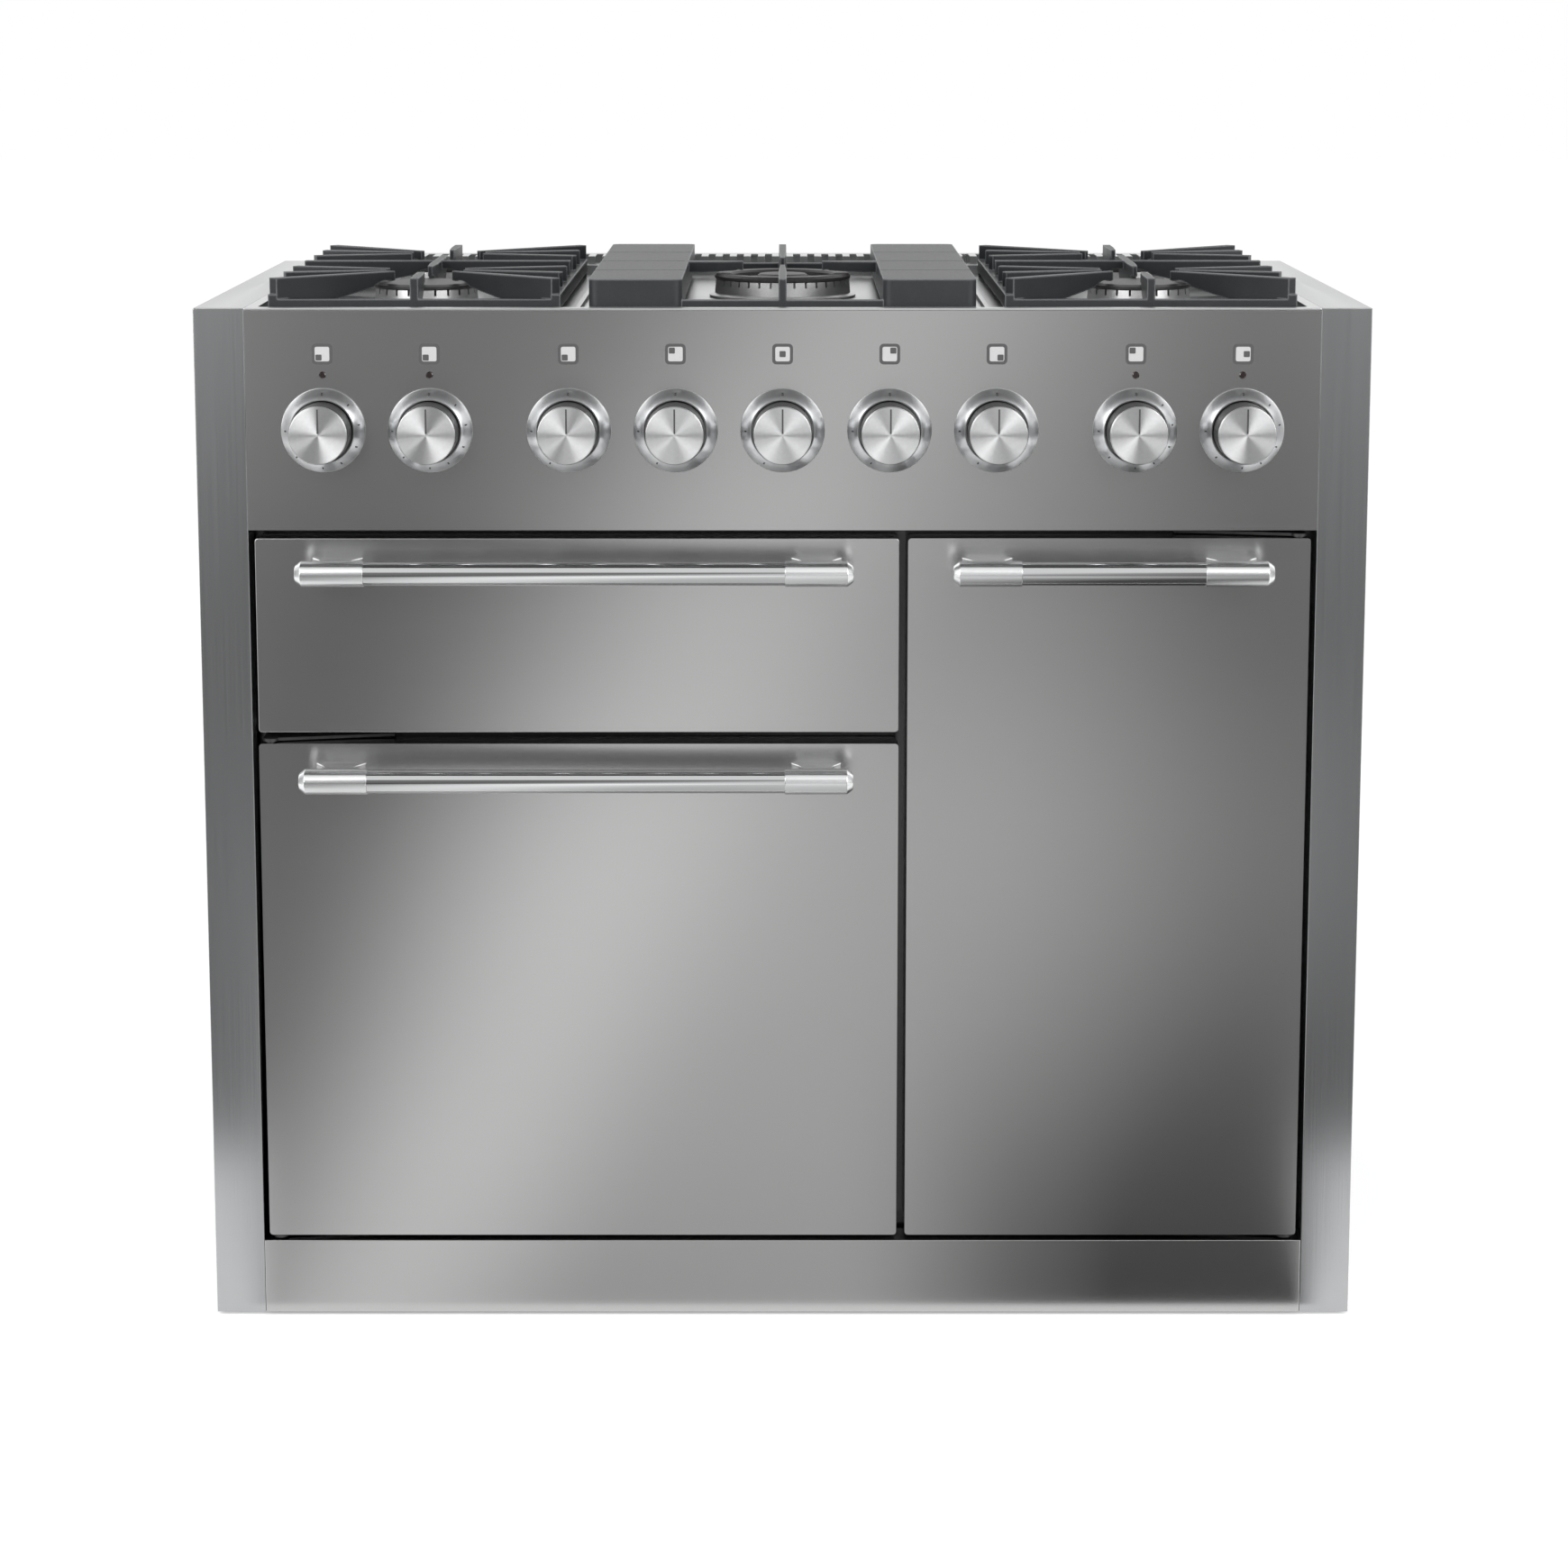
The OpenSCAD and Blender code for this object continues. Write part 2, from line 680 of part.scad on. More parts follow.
// Centre pan support: two flat pads with hollow undersides, low cross rails and four fingers
module mid_pan_support() {
    half_x = mid_grate_w / 2;
    half_y = mid_grate_l / 2;
    pad_x = half_x - pad_w;
    root_h = grate_z - root_z;
    color("dimgray")
        translate([0, grate_y, 0]) {
            for (s = [-1, 1])
                mirror([s > 0 ? 0 : 1, 0, 0]) {
                    difference() {
                        level(pad_x, half_x, -half_y, half_y, root_z + 2, grate_z, 8);
                        level(pad_x + pad_skin, half_x - pad_skin, -half_y + pad_skin,
                              half_y - pad_skin, root_z, grate_z - pad_skin, 4);
                        for (y = [-0.52, -0.02, 0.48])
                            box(pad_x - 1, half_x + 1, y * half_y - groove_w / 2,
                                y * half_y + groove_w / 2, grate_z - groove_deep, grate_z + 1);
                    }
                    translate([pad_x + 3, wok_y - grate_y, grate_z])
                        rotate(180)
                            finger(pad_x + 3 - tip_gap, grate_z - wok_top - 1, 8, 16, 6);
                    for (t = [-1, 1])
                        z_rod(half_x - 8, t * (half_y - 12), tray_z + seat, root_z + 6, 4);
                }
            for (s = [-1, 1]) {
                box(-pad_x - 4, pad_x + 4, s * (half_y - 9) - 4, s * (half_y - 9) + 4,
                    root_z, root_z + 8);
                translate([0, s * (half_y - 5), grate_z])
                    rotate(-90 * s)
                        finger(half_y - 5 - s * (wok_y - grate_y) - tip_gap - 12, root_h, 9, finger_t, 4);
            }
        }
}

// Ovens

flange = 12;

// Enamelled box, open at the front, with a flange that screws to the front frame
module liner(c, drum) {
    difference() {
        union() {
            box(c[0] - sheet, c[1] + sheet, cavity_y, cavity_back + sheet, c[2] - sheet, c[3] + sheet);
            box(c[0] - flange, c[1] + flange, cavity_y, cavity_y + sheet, c[2] - flange, c[3] + flange);
        }
        upright(c[0], c[1], cavity_y - 1, cavity_back, c[2], c[3], 6);
        if (drum)
            y_rod(mid_x(c), cavity_back - 1, cavity_back + sheet + 1, mid_z(c), 8);
    }
}

function mid_x(c) = (c[0] + c[1]) / 2;
function mid_z(c) = (c[2] + c[3]) / 2;

module left_oven_liner() {
    color("darkslategray")
        difference() {
            liner(left_cav, true);
            element_holes(left_cav);
        }
}

module right_oven_liner() {
    color("darkslategray")
        difference() {
            liner(right_cav, true);
            element_holes(right_cav);
        }
}

lead_x = 190;

module grill_liner() {
    color("darkslategray")
        difference() {
            liner(grill_cav, false);
            for (x = [-lead_x, lead_x])
                y_rod(mid_x(grill_cav) + x, cavity_back - 1, cavity_back + sheet + 1, grill_rod_z, rod_r + run);
        }
}

level_pitch = 84;
rack_w = 6;
rack_room = 14;

// Number of shelf levels that fit a cavity
function levels(c) = floor((c[3] - c[2] - 30) / level_pitch);
function level_z(c, i) = c[2] + 40 + i * level_pitch;
function shelf_z(c, i, count) = level_z(c, floor((i + 0.5) * levels(c) / count)) + 4 + seat / 3;

// Side racks: two posts and a runner at each level, on both walls
module shelf_racks() {
    y0 = cavity_y + 20;
    y1 = cavity_back - fan_room - 12;
    color("silver")
        for (c = [left_cav, right_cav])
            for (side = [0, 1]) {
                wall = side == 0 ? c[0] : c[1] - rack_w;
                runner = side == 0 ? c[0] : c[1] - rack_room;
                for (y = [y0 + 20, y1 - 20 - rack_w])
                    box(wall, wall + rack_w, y, y + rack_w, c[2] + 12, c[3] - 12);
                for (i = [0:levels(c) - 1])
                    box(runner, runner + rack_room, y0, y1, level_z(c, i), level_z(c, i) + 4);
            }
}

wire_r = 1.6;
shelf_bar = 6;
wire_pitch = 32;

// Wire shelf: a flat bar frame with a raised back rail and cross wires
module shelf(c, z) {
    x0 = c[0] + rack_w + 2;
    x1 = c[1] - rack_w - 2;
    y0 = cavity_y + 24;
    y1 = cavity_back - fan_room - 14;
    wires = floor((x1 - x0 - 2 * shelf_bar) / wire_pitch);
    difference() {
        level(x0, x1, y0, y1, z, z + 5, 10);
        level(x0 + shelf_bar, x1 - shelf_bar, y0 + shelf_bar, y1 - shelf_bar, z - 1, z + 6, 5);
    }
    for (i = [1:wires])
        y_rod(x0 + shelf_bar + (x1 - x0 - 2 * shelf_bar) * i / (wires + 1), y0 + 2, y1 - 2, z + 2.5, wire_r);
}

module left_oven_shelves() {
    color("silver")
        for (i = [0:wide_shelves - 1])
            shelf(left_cav, shelf_z(left_cav, i, wide_shelves));
}

module right_oven_shelves() {
    color("silver")
        for (i = [0:tall_shelves - 1])
            shelf(right_cav, shelf_z(right_cav, i, tall_shelves));
}

cover_t = 1.5;
hub_y = cavity_back - fan_room + 8;
blade_d = 22;
ring_r = fan_r + 20;
cover_half = ring_r + 26;
leg_in = 10;

// Baffle in front of each fan: a plate on legs, pierced by rings of holes
module fan_covers() {
    color("slategray")
        for (c = [left_cav, right_cav])
            difference() {
                union() {
                    upright(mid_x(c) - cover_half, mid_x(c) + cover_half, cavity_back - fan_room,
                            cavity_back - fan_room + cover_t, mid_z(c) - cover_half, mid_z(c) + cover_half, 20);
                    for (x = [-1, 1])
                        for (z = [-1, 1])
                            y_rod(mid_x(c) + x * (cover_half - leg_in), cavity_back - fan_room, cavity_back,
                                  mid_z(c) + z * (cover_half - leg_in), 4);
                }
                for (ring = [0:2])
                    for (i = [0:8 + 6 * ring - 1])
                        translate([mid_x(c), 0, mid_z(c)])
                            rotate([0, i * 360 / (8 + 6 * ring), 0])
                                y_rod(20 + 15 * ring, cavity_back - fan_room - 1,
                                      cavity_back - fan_room + cover_t + 1, 0, 4.5);
            }
}

shaft_r = 4;
motor_l = 62;

// Convection fan: back disc, hub, eight blades and the motor shaft
module fan(c) {
    color("lightsteelblue")
        translate([mid_x(c), 0, mid_z(c)]) {
            y_rod(0, hub_y + blade_d, hub_y + blade_d + 1.5, 0, fan_r);
            y_rod(0, hub_y, hub_y + blade_d + 1, 0, 10);
            y_rod(0, hub_y + blade_d, cavity_back + motor_l - 10, 0, shaft_r);
            for (i = [0:7])
                rotate([0, i * 45, 0])
                    box(8, fan_r - 2, hub_y + 2, hub_y + blade_d + 1, -0.75, 0.75);
        }
}

// Fan motors on the back walls, each with a bore for the shaft
module fan_motors() {
    color("gray")
        for (c = [left_cav, right_cav])
            difference() {
                union() {
                    y_rod(mid_x(c), cavity_back + sheet + 12, cavity_back + motor_l, mid_z(c), 34);
                    for (a = [-1, 1])
                        y_rod(mid_x(c) + a * 26, cavity_back + sheet, cavity_back + sheet + 13, mid_z(c), 4);
                }
                y_rod(mid_x(c), cavity_back, cavity_back + motor_l - 9.5, mid_z(c), shaft_r + run);
            }
}

rod_r = 3.2;

// Holes in a back wall for the two leads of the ring element
module element_holes(c) {
    for (x = [-12, 12])
        y_rod(mid_x(c) + x, cavity_back - 1, cavity_back + sheet + 1, mid_z(c) + ring_r, rod_r + run);
}

// Ring elements round the fans, with two leads through the back wall
module fan_elements() {
    gap_angle = asin(12 / ring_r);
    color("saddlebrown")
        for (c = [left_cav, right_cav])
            translate([mid_x(c), hub_y + 10, mid_z(c)]) {
                rotate([90, 0, 0])
                    rotate(90 + gap_angle)
                        rotate_extrude(angle = 360 - 2 * gap_angle)
                            translate([ring_r, 0])
                                circle(r = rod_r);
                for (x = [-12, 12]) {
                    translate([x, 0, ring_r * cos(gap_angle)])
                        sphere(r = rod_r * 1.3);
                    y_rod(x, 0, fan_room - 8 + sheet, ring_r, rod_r);
                }
            }
}

grill_rod_z = grill_cav[3] - 22;
grill_bends = 5;
bend_pitch = 2 * lead_x / grill_bends;
element_in = 70;

// Grill element: one rod bent to and fro under the roof of the chamber
module grill_element() {
    y0 = cavity_y + element_in;
    y1 = cavity_back - element_in;
    x0 = mid_x(grill_cav) - lead_x;
    color("saddlebrown") {
        for (i = [0:grill_bends]) {
            start = i == 0 || i == grill_bends ? cavity_back + 25 : y1;
            y_rod(x0 + i * bend_pitch, y0, start, grill_rod_z, rod_r);
        }
        for (i = [0:grill_bends - 1])
            translate([x0 + (i + 0.5) * bend_pitch, i % 2 == 0 ? y0 : y1, grill_rod_z])
                rotate(i % 2 == 0 ? 180 : 0)
                    rotate_extrude(angle = 180)
                        translate([bend_pitch / 2, 0])
                            circle(r = rod_r);
    }
}

seal_w = 9;

// Woven door seals, laid round each mouth on the front frame
module door_seals() {
    color("dimgray")
        for (c = [left_cav, right_cav])
            difference() {
                upright(c[0] - 3 - seal_w, c[1] + 3 + seal_w, frame_y - seal_room + seat, frame_y - seat / 3,
                        c[2] - 3 - seal_w, c[3] + 3 + seal_w, 12);
                upright(c[0] - 3, c[1] + 3, frame_y - seal_room - 1, frame_y + 1, c[2] - 3, c[3] + 3, 6);
            }
}

// Fronts

pivot_in = 9;
pin_r = 4;
pin_reach = 14;
bracket_t = 2.5;
bracket_l = 115;
left_pivot = left_x0 + pivot_in;
right_pivot = right_x1 - pivot_in;
pivot_y = front_y + pivot_in;

// Hinge bracket under a door: arm, flange on the front frame, and the pin that the door turns on.
// The outline is drawn for a left-hand hinge with the arm's upper face at z = 0.
module hinge_bracket() {
    translate([0, 0, -bracket_t])
        linear_extrude(bracket_t) {
            circle(r = 6.5);
            polygon([[-6.5, 0], [6.5, 0], [bracket_l - 10, frame_y - pivot_y - 12],
                     [bracket_l - 10, frame_y - pivot_y], [-6.5, frame_y - pivot_y]]);
        }
    box(-6.5, bracket_l - 10, frame_y - pivot_y - flange_t, frame_y - pivot_y, -22, 0);
    cylinder(h = pin_reach, r = pin_r);
}

// The four brackets: one under and one over each door
module hinge_brackets() {
    color("lightgray")
        for (hinge = [[left_pivot, 0], [right_pivot, 1]]) {
            top = hinge[1] == 0 ? left_door_z1 : right_door_z1;
            translate([hinge[0], pivot_y, door_z0 - 1])
                mirror([hinge[1], 0, 0])
                    hinge_bracket();
            translate([hinge[0], pivot_y, top + 1])
                mirror([hinge[1], 0, 0])
                    mirror([0, 0, 1])
                        hinge_bracket();
        }
}

// Stainless outer tray of a front
module skin(x0, x1, z0, z1) {
    difference() {
        upright(x0, x1, front_y, front_y + skin_d - run, z0, z1, front_r);
        upright(x0 + sheet, x1 - sheet, front_y + sheet, front_y + skin_d + 1,
                z0 + sheet, z1 - sheet, front_r - sheet / 2);
    }
}

// Inner dish that closes the back of a front
module dish(x0, x1, z0, z1) {
    difference() {
        upright(x0 + 1, x1 - 1, front_y + skin_d, front_y + door_t, z0 + 1, z1 - 1, front_r);
        upright(x0 + 1 + sheet, x1 - 1 - sheet, front_y + skin_d - 1, front_y + door_t - sheet,
                z0 + 1 + sheet, z1 - 1 - sheet, front_r - sheet / 2);
    }
}

block = 18;

// Outer tray of a door, with a bored hinge block in both corners of its hinge side
module door_skin(x0, x1, z1, pivot) {
    color("silver")
        difference() {
            union() {
                skin(x0, x1, door_z0, z1);
                for (z = [door_z0 + sheet / 2, z1 - sheet / 2 - block])
                    box(pivot - pivot_in + sheet / 2, pivot + pivot_in - sheet / 2, front_y + sheet / 2,
                        front_y + block, z, z + block);
            }
            z_rod(pivot, pivot_y, door_z0 - 1, door_z0 + pin_reach, pin_r + run);
            z_rod(pivot, pivot_y, z1 - pin_reach, z1 + 1, pin_r + run);
        }
}

module left_door_panel() {
    door_skin(left_x0, left_x1, left_door_z1, left_pivot);
}

module right_door_panel() {
    door_skin(right_x0, right_x1, right_door_z1, right_pivot);
}

module left_door_liner() {
    color("darkslategray")
        dish(left_x0, left_x1, door_z0, left_door_z1);
}

module right_door_liner() {
    color("darkslategray")
        dish(right_x0, right_x1, door_z0, right_door_z1);
}

bracket_w = 44;
bracket_h = 15;
waist_r = 26;
nose = 5;

// Handle: polished bar held in two sleeves, each with a waisted bracket back to the front
module handle(x, z, length) {
    axis_y = front_y - handle_out;
    for (s = [-1, 1])
        translate([x, 0, z])
            mirror([s > 0 ? 0 : 1, 0, 0]) {
                difference() {
                    union() {
                        translate([length / 2 - sleeve_l, axis_y, 0])
                            rotate([0, 90, 0])
                                rotate_extrude()
                                    polygon([[0, 0], [sleeve_r - 0.5, 0], [sleeve_r, 0.5],
                                             [sleeve_r, sleeve_l - nose], [sleeve_r - nose + 1, sleeve_l],
                                             [0, sleeve_l]]);
                        translate([length / 2 - sleeve_l / 2 - 2, 0, -bracket_h / 2])
                            linear_extrude(bracket_h)
                                difference() {
                                    translate([-bracket_w / 2, axis_y])
                                        square([bracket_w, handle_out]);
                                    for (t = [-1, 1])
                                        translate([t * (bracket_w / 2 + waist_r - 9), axis_y + handle_out / 2 + 3])
                                            circle(r = waist_r);
                                }
                    }
                    x_rod(length / 2 - sleeve_l - 1, length / 2 - nose - 6, axis_y, 0, bar_r + run * 2);
                }
            }
    x_rod(x - length / 2 + nose + 6 + seat, x + length / 2 - nose - 6 - seat, axis_y, z, bar_r);
}

module grill_handle() {
    color("gainsboro")
        handle((left_x0 + left_x1) / 2, drawer_z1 - handle_drop, long_handle);
}

module left_door_handle() {
    color("gainsboro")
        handle((left_x0 + left_x1) / 2, left_door_z1 - handle_drop, long_handle);
}

module right_door_handle() {
    color("gainsboro")
        handle((right_x0 + right_x1) / 2, right_door_z1 - handle_drop, short_handle);
}

// Grill drawer

rail_h = 34;
rail_t = 1.5;
rail_z = grill_cav[2] + 32;
rail_y0 = cavity_y + 6;
runner_hold = 30;
slide_l = grill_travel + runner_hold;
rail_l = slide_l + 20;
arm_u = 12.5;

// Channel along Y against the left wall, open to the inside; u is the distance from the wall
module channel(u0, u1, half_h, y0, y1) {
    difference() {
        box(grill_cav[0] + u0, grill_cav[0] + u1, y0, y1, rail_z - half_h, rail_z + half_h);
        box(grill_cav[0] + u0 + rail_t, grill_cav[0] + u1 + 1, y0 - 1, y1 + 1,
            rail_z - half_h + rail_t, rail_z + half_h - rail_t);
    }
}

// The same piece on both walls
module both_sides() {
    children();
    translate([2 * mid_x(grill_cav), 0, 0])
        mirror([1, 0, 0])
            children();
}

mid_half_h = rail_h / 2 - rail_t - bearing;
arm_half_h = mid_half_h - rail_t - bearing;
mid_u = rail_t + bearing;
inner_u = mid_u + rail_t + bearing;

module grill_rails() {
    color("silver")
        both_sides()
            channel(0, arm_u - bearing, rail_h / 2, rail_y0, rail_y0 + rail_l);
}

module grill_rail_slides() {
    color("gainsboro")
        both_sides()
            channel(mid_u, arm_u - bearing, mid_half_h, rail_y0, rail_y0 + slide_l);
}

ledge = 12;
pan_wall = 1.5;
pan_y0 = front_y + door_t + 14;
pan_l = rail_y0 + slide_l - pan_y0;
pan_h = 38;
ledge_z = rail_z - rail_h / 2 - 2;

// Moving frame: the drawer's inner dish, two runner arms and the ledges that carry the pan
module grill_carriage() {
    color("silver") {
        dish(left_x0, left_x1, drawer_z0, drawer_z1);
        both_sides() {
            channel(inner_u, arm_u + rail_t, arm_half_h, rail_y0 + 2, rail_y0 + slide_l);
            box(grill_cav[0] + arm_u, grill_cav[0] + arm_u + rail_t, front_y + door_t - rail_t,
                rail_y0 + slide_l, ledge_z, rail_z + arm_half_h);
            box(grill_cav[0] + arm_u, grill_cav[0] + arm_u + ledge, front_y + door_t - rail_t,
                rail_y0 + slide_l, ledge_z, ledge_z + rail_t);
        }
    }
}

module grill_front() {
    color("silver")
        skin(left_x0, left_x1, drawer_z0, drawer_z1);
}

pan_x0 = grill_cav[0] + arm_u + rail_t + seat;
pan_x1 = grill_cav[1] - arm_u - rail_t - seat;
pan_z = ledge_z + rail_t + seat / 3;

// Enamelled pan that stands on the ledges
module grill_pan() {
    color("darkslategray")
        difference() {
            level(pan_x0, pan_x1, pan_y0, pan_y0 + pan_l, pan_z, pan_z + pan_h, 12);
            level(pan_x0 + pan_wall, pan_x1 - pan_wall, pan_y0 + pan_wall, pan_y0 + pan_l - pan_wall,
                  pan_z + pan_wall, pan_z + pan_h + 1, 12 - pan_wall);
        }
}

trivet_in = 10;
trivet_up = 18;

// Wire grid on four legs inside the pan
module grill_trivet() {
    x0 = pan_x0 + trivet_in;
    x1 = pan_x1 - trivet_in;
    y0 = pan_y0 + trivet_in;
    y1 = pan_y0 + pan_l - trivet_in;
    z = pan_z + pan_wall + trivet_up;
    count = floor((x1 - x0 - 12) / 24);
    color("silver") {
        difference() {
            level(x0, x1, y0, y1, z, z + 5, 8);
            level(x0 + 5, x1 - 5, y0 + 5, y1 - 5, z - 1, z + 6, 4);
        }
        for (i = [1:count])
            y_rod(x0 + 5 + (x1 - x0 - 10) * i / (count + 1), y0 + 2, y1 - 2, z + 2.5, wire_r);
        for (x = [x0 + 14, x1 - 14])
            for (y = [y0 + 2.5, y1 - 2.5])
                z_rod(x, y, pan_z + pan_wall + seat / 3, z + 2, 2.4);
    }
}

side_panel(-1);  // side_panel_left
side_panel(1);  // side_panel_right
back_panel();
base_tray();
plinth();
levelling_feet();
front_frame();
control_fascia();
knob_bezels();
indicator_lamps();
hob_tray();
rear_vent();
burner_bases();
burner_caps();
side_pan_support(-1);  // pan_support_left
mid_pan_support();  // pan_support_centre
side_pan_support(1);  // pan_support_right
gas_rail();
oven_switches();
left_oven_liner();
right_oven_liner();
grill_liner();
shelf_racks();
left_oven_shelves();
right_oven_shelves();
fan_covers();
fan(left_cav);  // left_fan
fan(right_cav);  // right_fan
fan_motors();
fan_elements();
grill_element();
door_seals();
hinge_brackets();
grill_rails();
grill_rail_slides();
grill_carriage();
grill_front();
grill_pan();
grill_trivet();
grill_handle();
left_door_panel();
left_door_liner();
left_door_handle();
right_door_panel();
right_door_liner();
right_door_handle();
for (i = [1:9])
    knob(i);
for (i = [3:7])
    tap_spindle(i);
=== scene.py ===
"""Range cooker: a free-standing stainless cooker with a five-burner gas hob, dressed for rendering."""

import math

import bmesh
import bpy
from mathutils import Matrix, Vector


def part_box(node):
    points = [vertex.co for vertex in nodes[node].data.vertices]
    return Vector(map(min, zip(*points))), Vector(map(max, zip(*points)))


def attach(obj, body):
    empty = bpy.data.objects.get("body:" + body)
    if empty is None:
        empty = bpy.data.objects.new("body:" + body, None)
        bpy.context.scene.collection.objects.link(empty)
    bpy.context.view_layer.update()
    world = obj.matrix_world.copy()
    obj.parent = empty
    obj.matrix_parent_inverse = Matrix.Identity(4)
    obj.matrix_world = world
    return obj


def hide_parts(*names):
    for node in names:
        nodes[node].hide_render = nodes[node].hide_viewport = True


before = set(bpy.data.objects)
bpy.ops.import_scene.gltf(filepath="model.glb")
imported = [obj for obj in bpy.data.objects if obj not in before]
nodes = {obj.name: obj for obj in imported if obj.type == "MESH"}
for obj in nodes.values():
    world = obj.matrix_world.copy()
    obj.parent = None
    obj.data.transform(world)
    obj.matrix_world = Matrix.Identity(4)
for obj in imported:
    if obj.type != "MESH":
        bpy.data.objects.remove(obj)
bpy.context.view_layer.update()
MM = 0.001

# The photographer's place: a long lens a little above the worktop, so that the fronts stand
# nearly square and the hob shows as a narrow strip. A small shift keeps the fronts upright.
front_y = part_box("plinth")[0].y
camera_distance = 3.20
camera_height = 1.145
tilt = math.radians(9.25)
lens = bpy.data.cameras.new("camera")
lens.lens = 86.7
lens.shift_x = 0.0009
lens.shift_y = -0.105
lens.clip_end = 60
camera = bpy.data.objects.new("camera", lens)
camera.location = (0, front_y - camera_distance, camera_height)
camera.rotation_euler = (math.pi / 2 - tilt, 0, 0)
bpy.context.scene.collection.objects.link(camera)
bpy.context.scene.camera = camera
bpy.context.scene.view_settings.view_transform = "Standard"


# The studio: a pale floor that runs out of sight, a white world and three soft lamps. Black
# nets round the object, which the camera can't see, put the soft dark fields into the steel as
# a photographer's flags do. They hang clear of the open doors.
class Value:
    """A socket of a node tree that takes part in sums; each sum adds its Math nodes."""

    def __init__(self, tree, socket=None):
        self.tree, self.socket = tree, socket

    def node(self, kind, settings=None, sockets=None, out=0):
        """Adds any other node: its settings first, then the values or links of its sockets."""
        new = self.tree.nodes.new("ShaderNode" + kind)
        for name, setting in (settings or {}).items():
            setattr(new, name, setting)
        for name, value in (sockets or {}).items():
            socket = new.inputs[name]
            if isinstance(value, Value):
                self.tree.links.new(value.socket, socket)
            else:
                socket.default_value = value
        return Value(self.tree, new.outputs[out])

    def math(self, operation, *values):
        return self.node("Math", {"operation": operation}, dict(enumerate(values)))

    def __add__(self, other):
        return self.math("ADD", self, other)

    __radd__ = __add__

    def __sub__(self, other):
        return self.math("SUBTRACT", self, other)

    def __rsub__(self, other):
        return self.math("SUBTRACT", other, self)

    def __mul__(self, other):
        return self.math("MULTIPLY", self, other)

    __rmul__ = __mul__

    def __truediv__(self, other):
        return self.math("DIVIDE", self, other)

    def __gt__(self, other):
        return self.math("GREATER_THAN", self, other)

    def __lt__(self, other):
        return self.math("LESS_THAN", self, other)

    def __abs__(self):
        return self.math("ABSOLUTE", self)

    def step(self, low, high):
        """0 below low, 1 above high, and a smooth rise between them."""
        return self.node("MapRange", {"interpolation_type": "SMOOTHSTEP"},
                         {"Value": self, "From Min": low, "From Max": high})

    def mix(self, first, second):
        """The colour first where this value is 0, and second where it is 1."""
        return self.node("Mix", {"data_type": "RGBA"}, {0: self, 6: first, 7: second}, out=2)

    def place(self, scale):
        """The object's own coordinates in metres, times a scale along each axis."""
        here = self.node("TexCoord", out=3)
        return self.node("VectorMath", {"operation": "MULTIPLY"}, {0: here, 1: scale})

    def noise(self, scale, detail=2, rough=0.5):
        """Grain from 0 to 1; scale gives its waves per metre along each axis."""
        return self.node("TexNoise", {}, {"Vector": self.place(scale), "Scale": 1.0,
                                          "Detail": detail, "Roughness": rough})

    def axes(self):
        """The object's x, y and z coordinate as three values."""
        split = self.node("SeparateXYZ", {}, {0: self.node("TexCoord", out=3)}).socket.node
        return [Value(self.tree, split.outputs[i]) for i in range(3)]


def finish(name, sockets):
    """Makes a material, and sets or links each shader socket that sockets(value) gives."""
    made = bpy.data.materials.new(name)
    made.use_nodes = True
    shader = made.node_tree.nodes["Principled BSDF"]
    start = Value(made.node_tree)
    for socket, value in sockets(start).items():
        if isinstance(value, Value):
            made.node_tree.links.new(value.socket, shader.inputs[socket])
        else:
            shader.inputs[socket].default_value = value
    return made


def grey(light, warm=0.0):
    """A colour with four numbers; warm above 0 leans to yellow, below 0 to blue."""
    return (light * (1 + warm), light, light * (1 - warm), 1)


def seen_as_background(value):
    """1 for rays from the camera or off metal and glass, 0 for the light on the object."""
    path = value.node("LightPath").socket.node
    camera_ray, glossy_ray, clear_ray = (
        Value(value.tree, path.outputs[name])
        for name in ("Is Camera Ray", "Is Glossy Ray", "Is Transmission Ray"))
    return (camera_ray + glossy_ray + clear_ray) > 0.5


world = bpy.data.worlds.new("studio")
world.use_nodes = True
bpy.context.scene.world = world
sky = Value(world.node_tree)
world_fill = 0.50
strength = seen_as_background(sky) * (1 - world_fill) + world_fill
world.node_tree.links.new(strength.socket, world.node_tree.nodes["Background"].inputs["Strength"])
world.node_tree.nodes["Background"].inputs["Color"].default_value = (1, 1, 1, 1)


def floor_sockets(v):
    """Pale paper that turns to white with the distance from the object."""
    across, along, _ = v.axes()
    away = (across * across + along * along).step(0.4, 7.0)
    glow = seen_as_background(v) * (away * 0.28 + 0.34)
    return {
        "Base Color": grey(0.80),
        "Roughness": 0.9,
        "Specular IOR Level": 0.0,
        "Emission Color": glow.mix((0, 0, 0, 1), (1, 1, 1, 1)),
        "Emission Strength": 1.0,
    }


bpy.ops.mesh.primitive_grid_add(x_subdivisions=2, y_subdivisions=2, size=50)
floor = bpy.context.object
floor.name = "floor"
floor.data.materials.append(finish("pale_floor", floor_sockets))


def net(name, low, high, density):
    """A flat black net between two corners that only reflections show; density(v) is its weave."""
    (x0, y0, z0), (x1, y1, z1) = low, high
    lying = z0 == z1
    corners = [low, (x1, y0 if lying else y1, z0), high, (x0, y1 if lying else y0, z1)]
    mesh = bpy.data.meshes.new(name)
    mesh.from_pydata(corners, [], [(0, 1, 2, 3)])
    made = bpy.data.objects.new(name, mesh)
    bpy.context.scene.collection.objects.link(made)
    made.data.materials.append(finish(name, lambda v: {
        "Base Color": grey(0.0), "Roughness": 1.0, "Specular IOR Level": 0.0, "Alpha": density(v)}))
    for ray in ("camera", "diffuse", "shadow", "transmission", "volume_scatter"):
        setattr(made, "visible_" + ray, False)
    return made


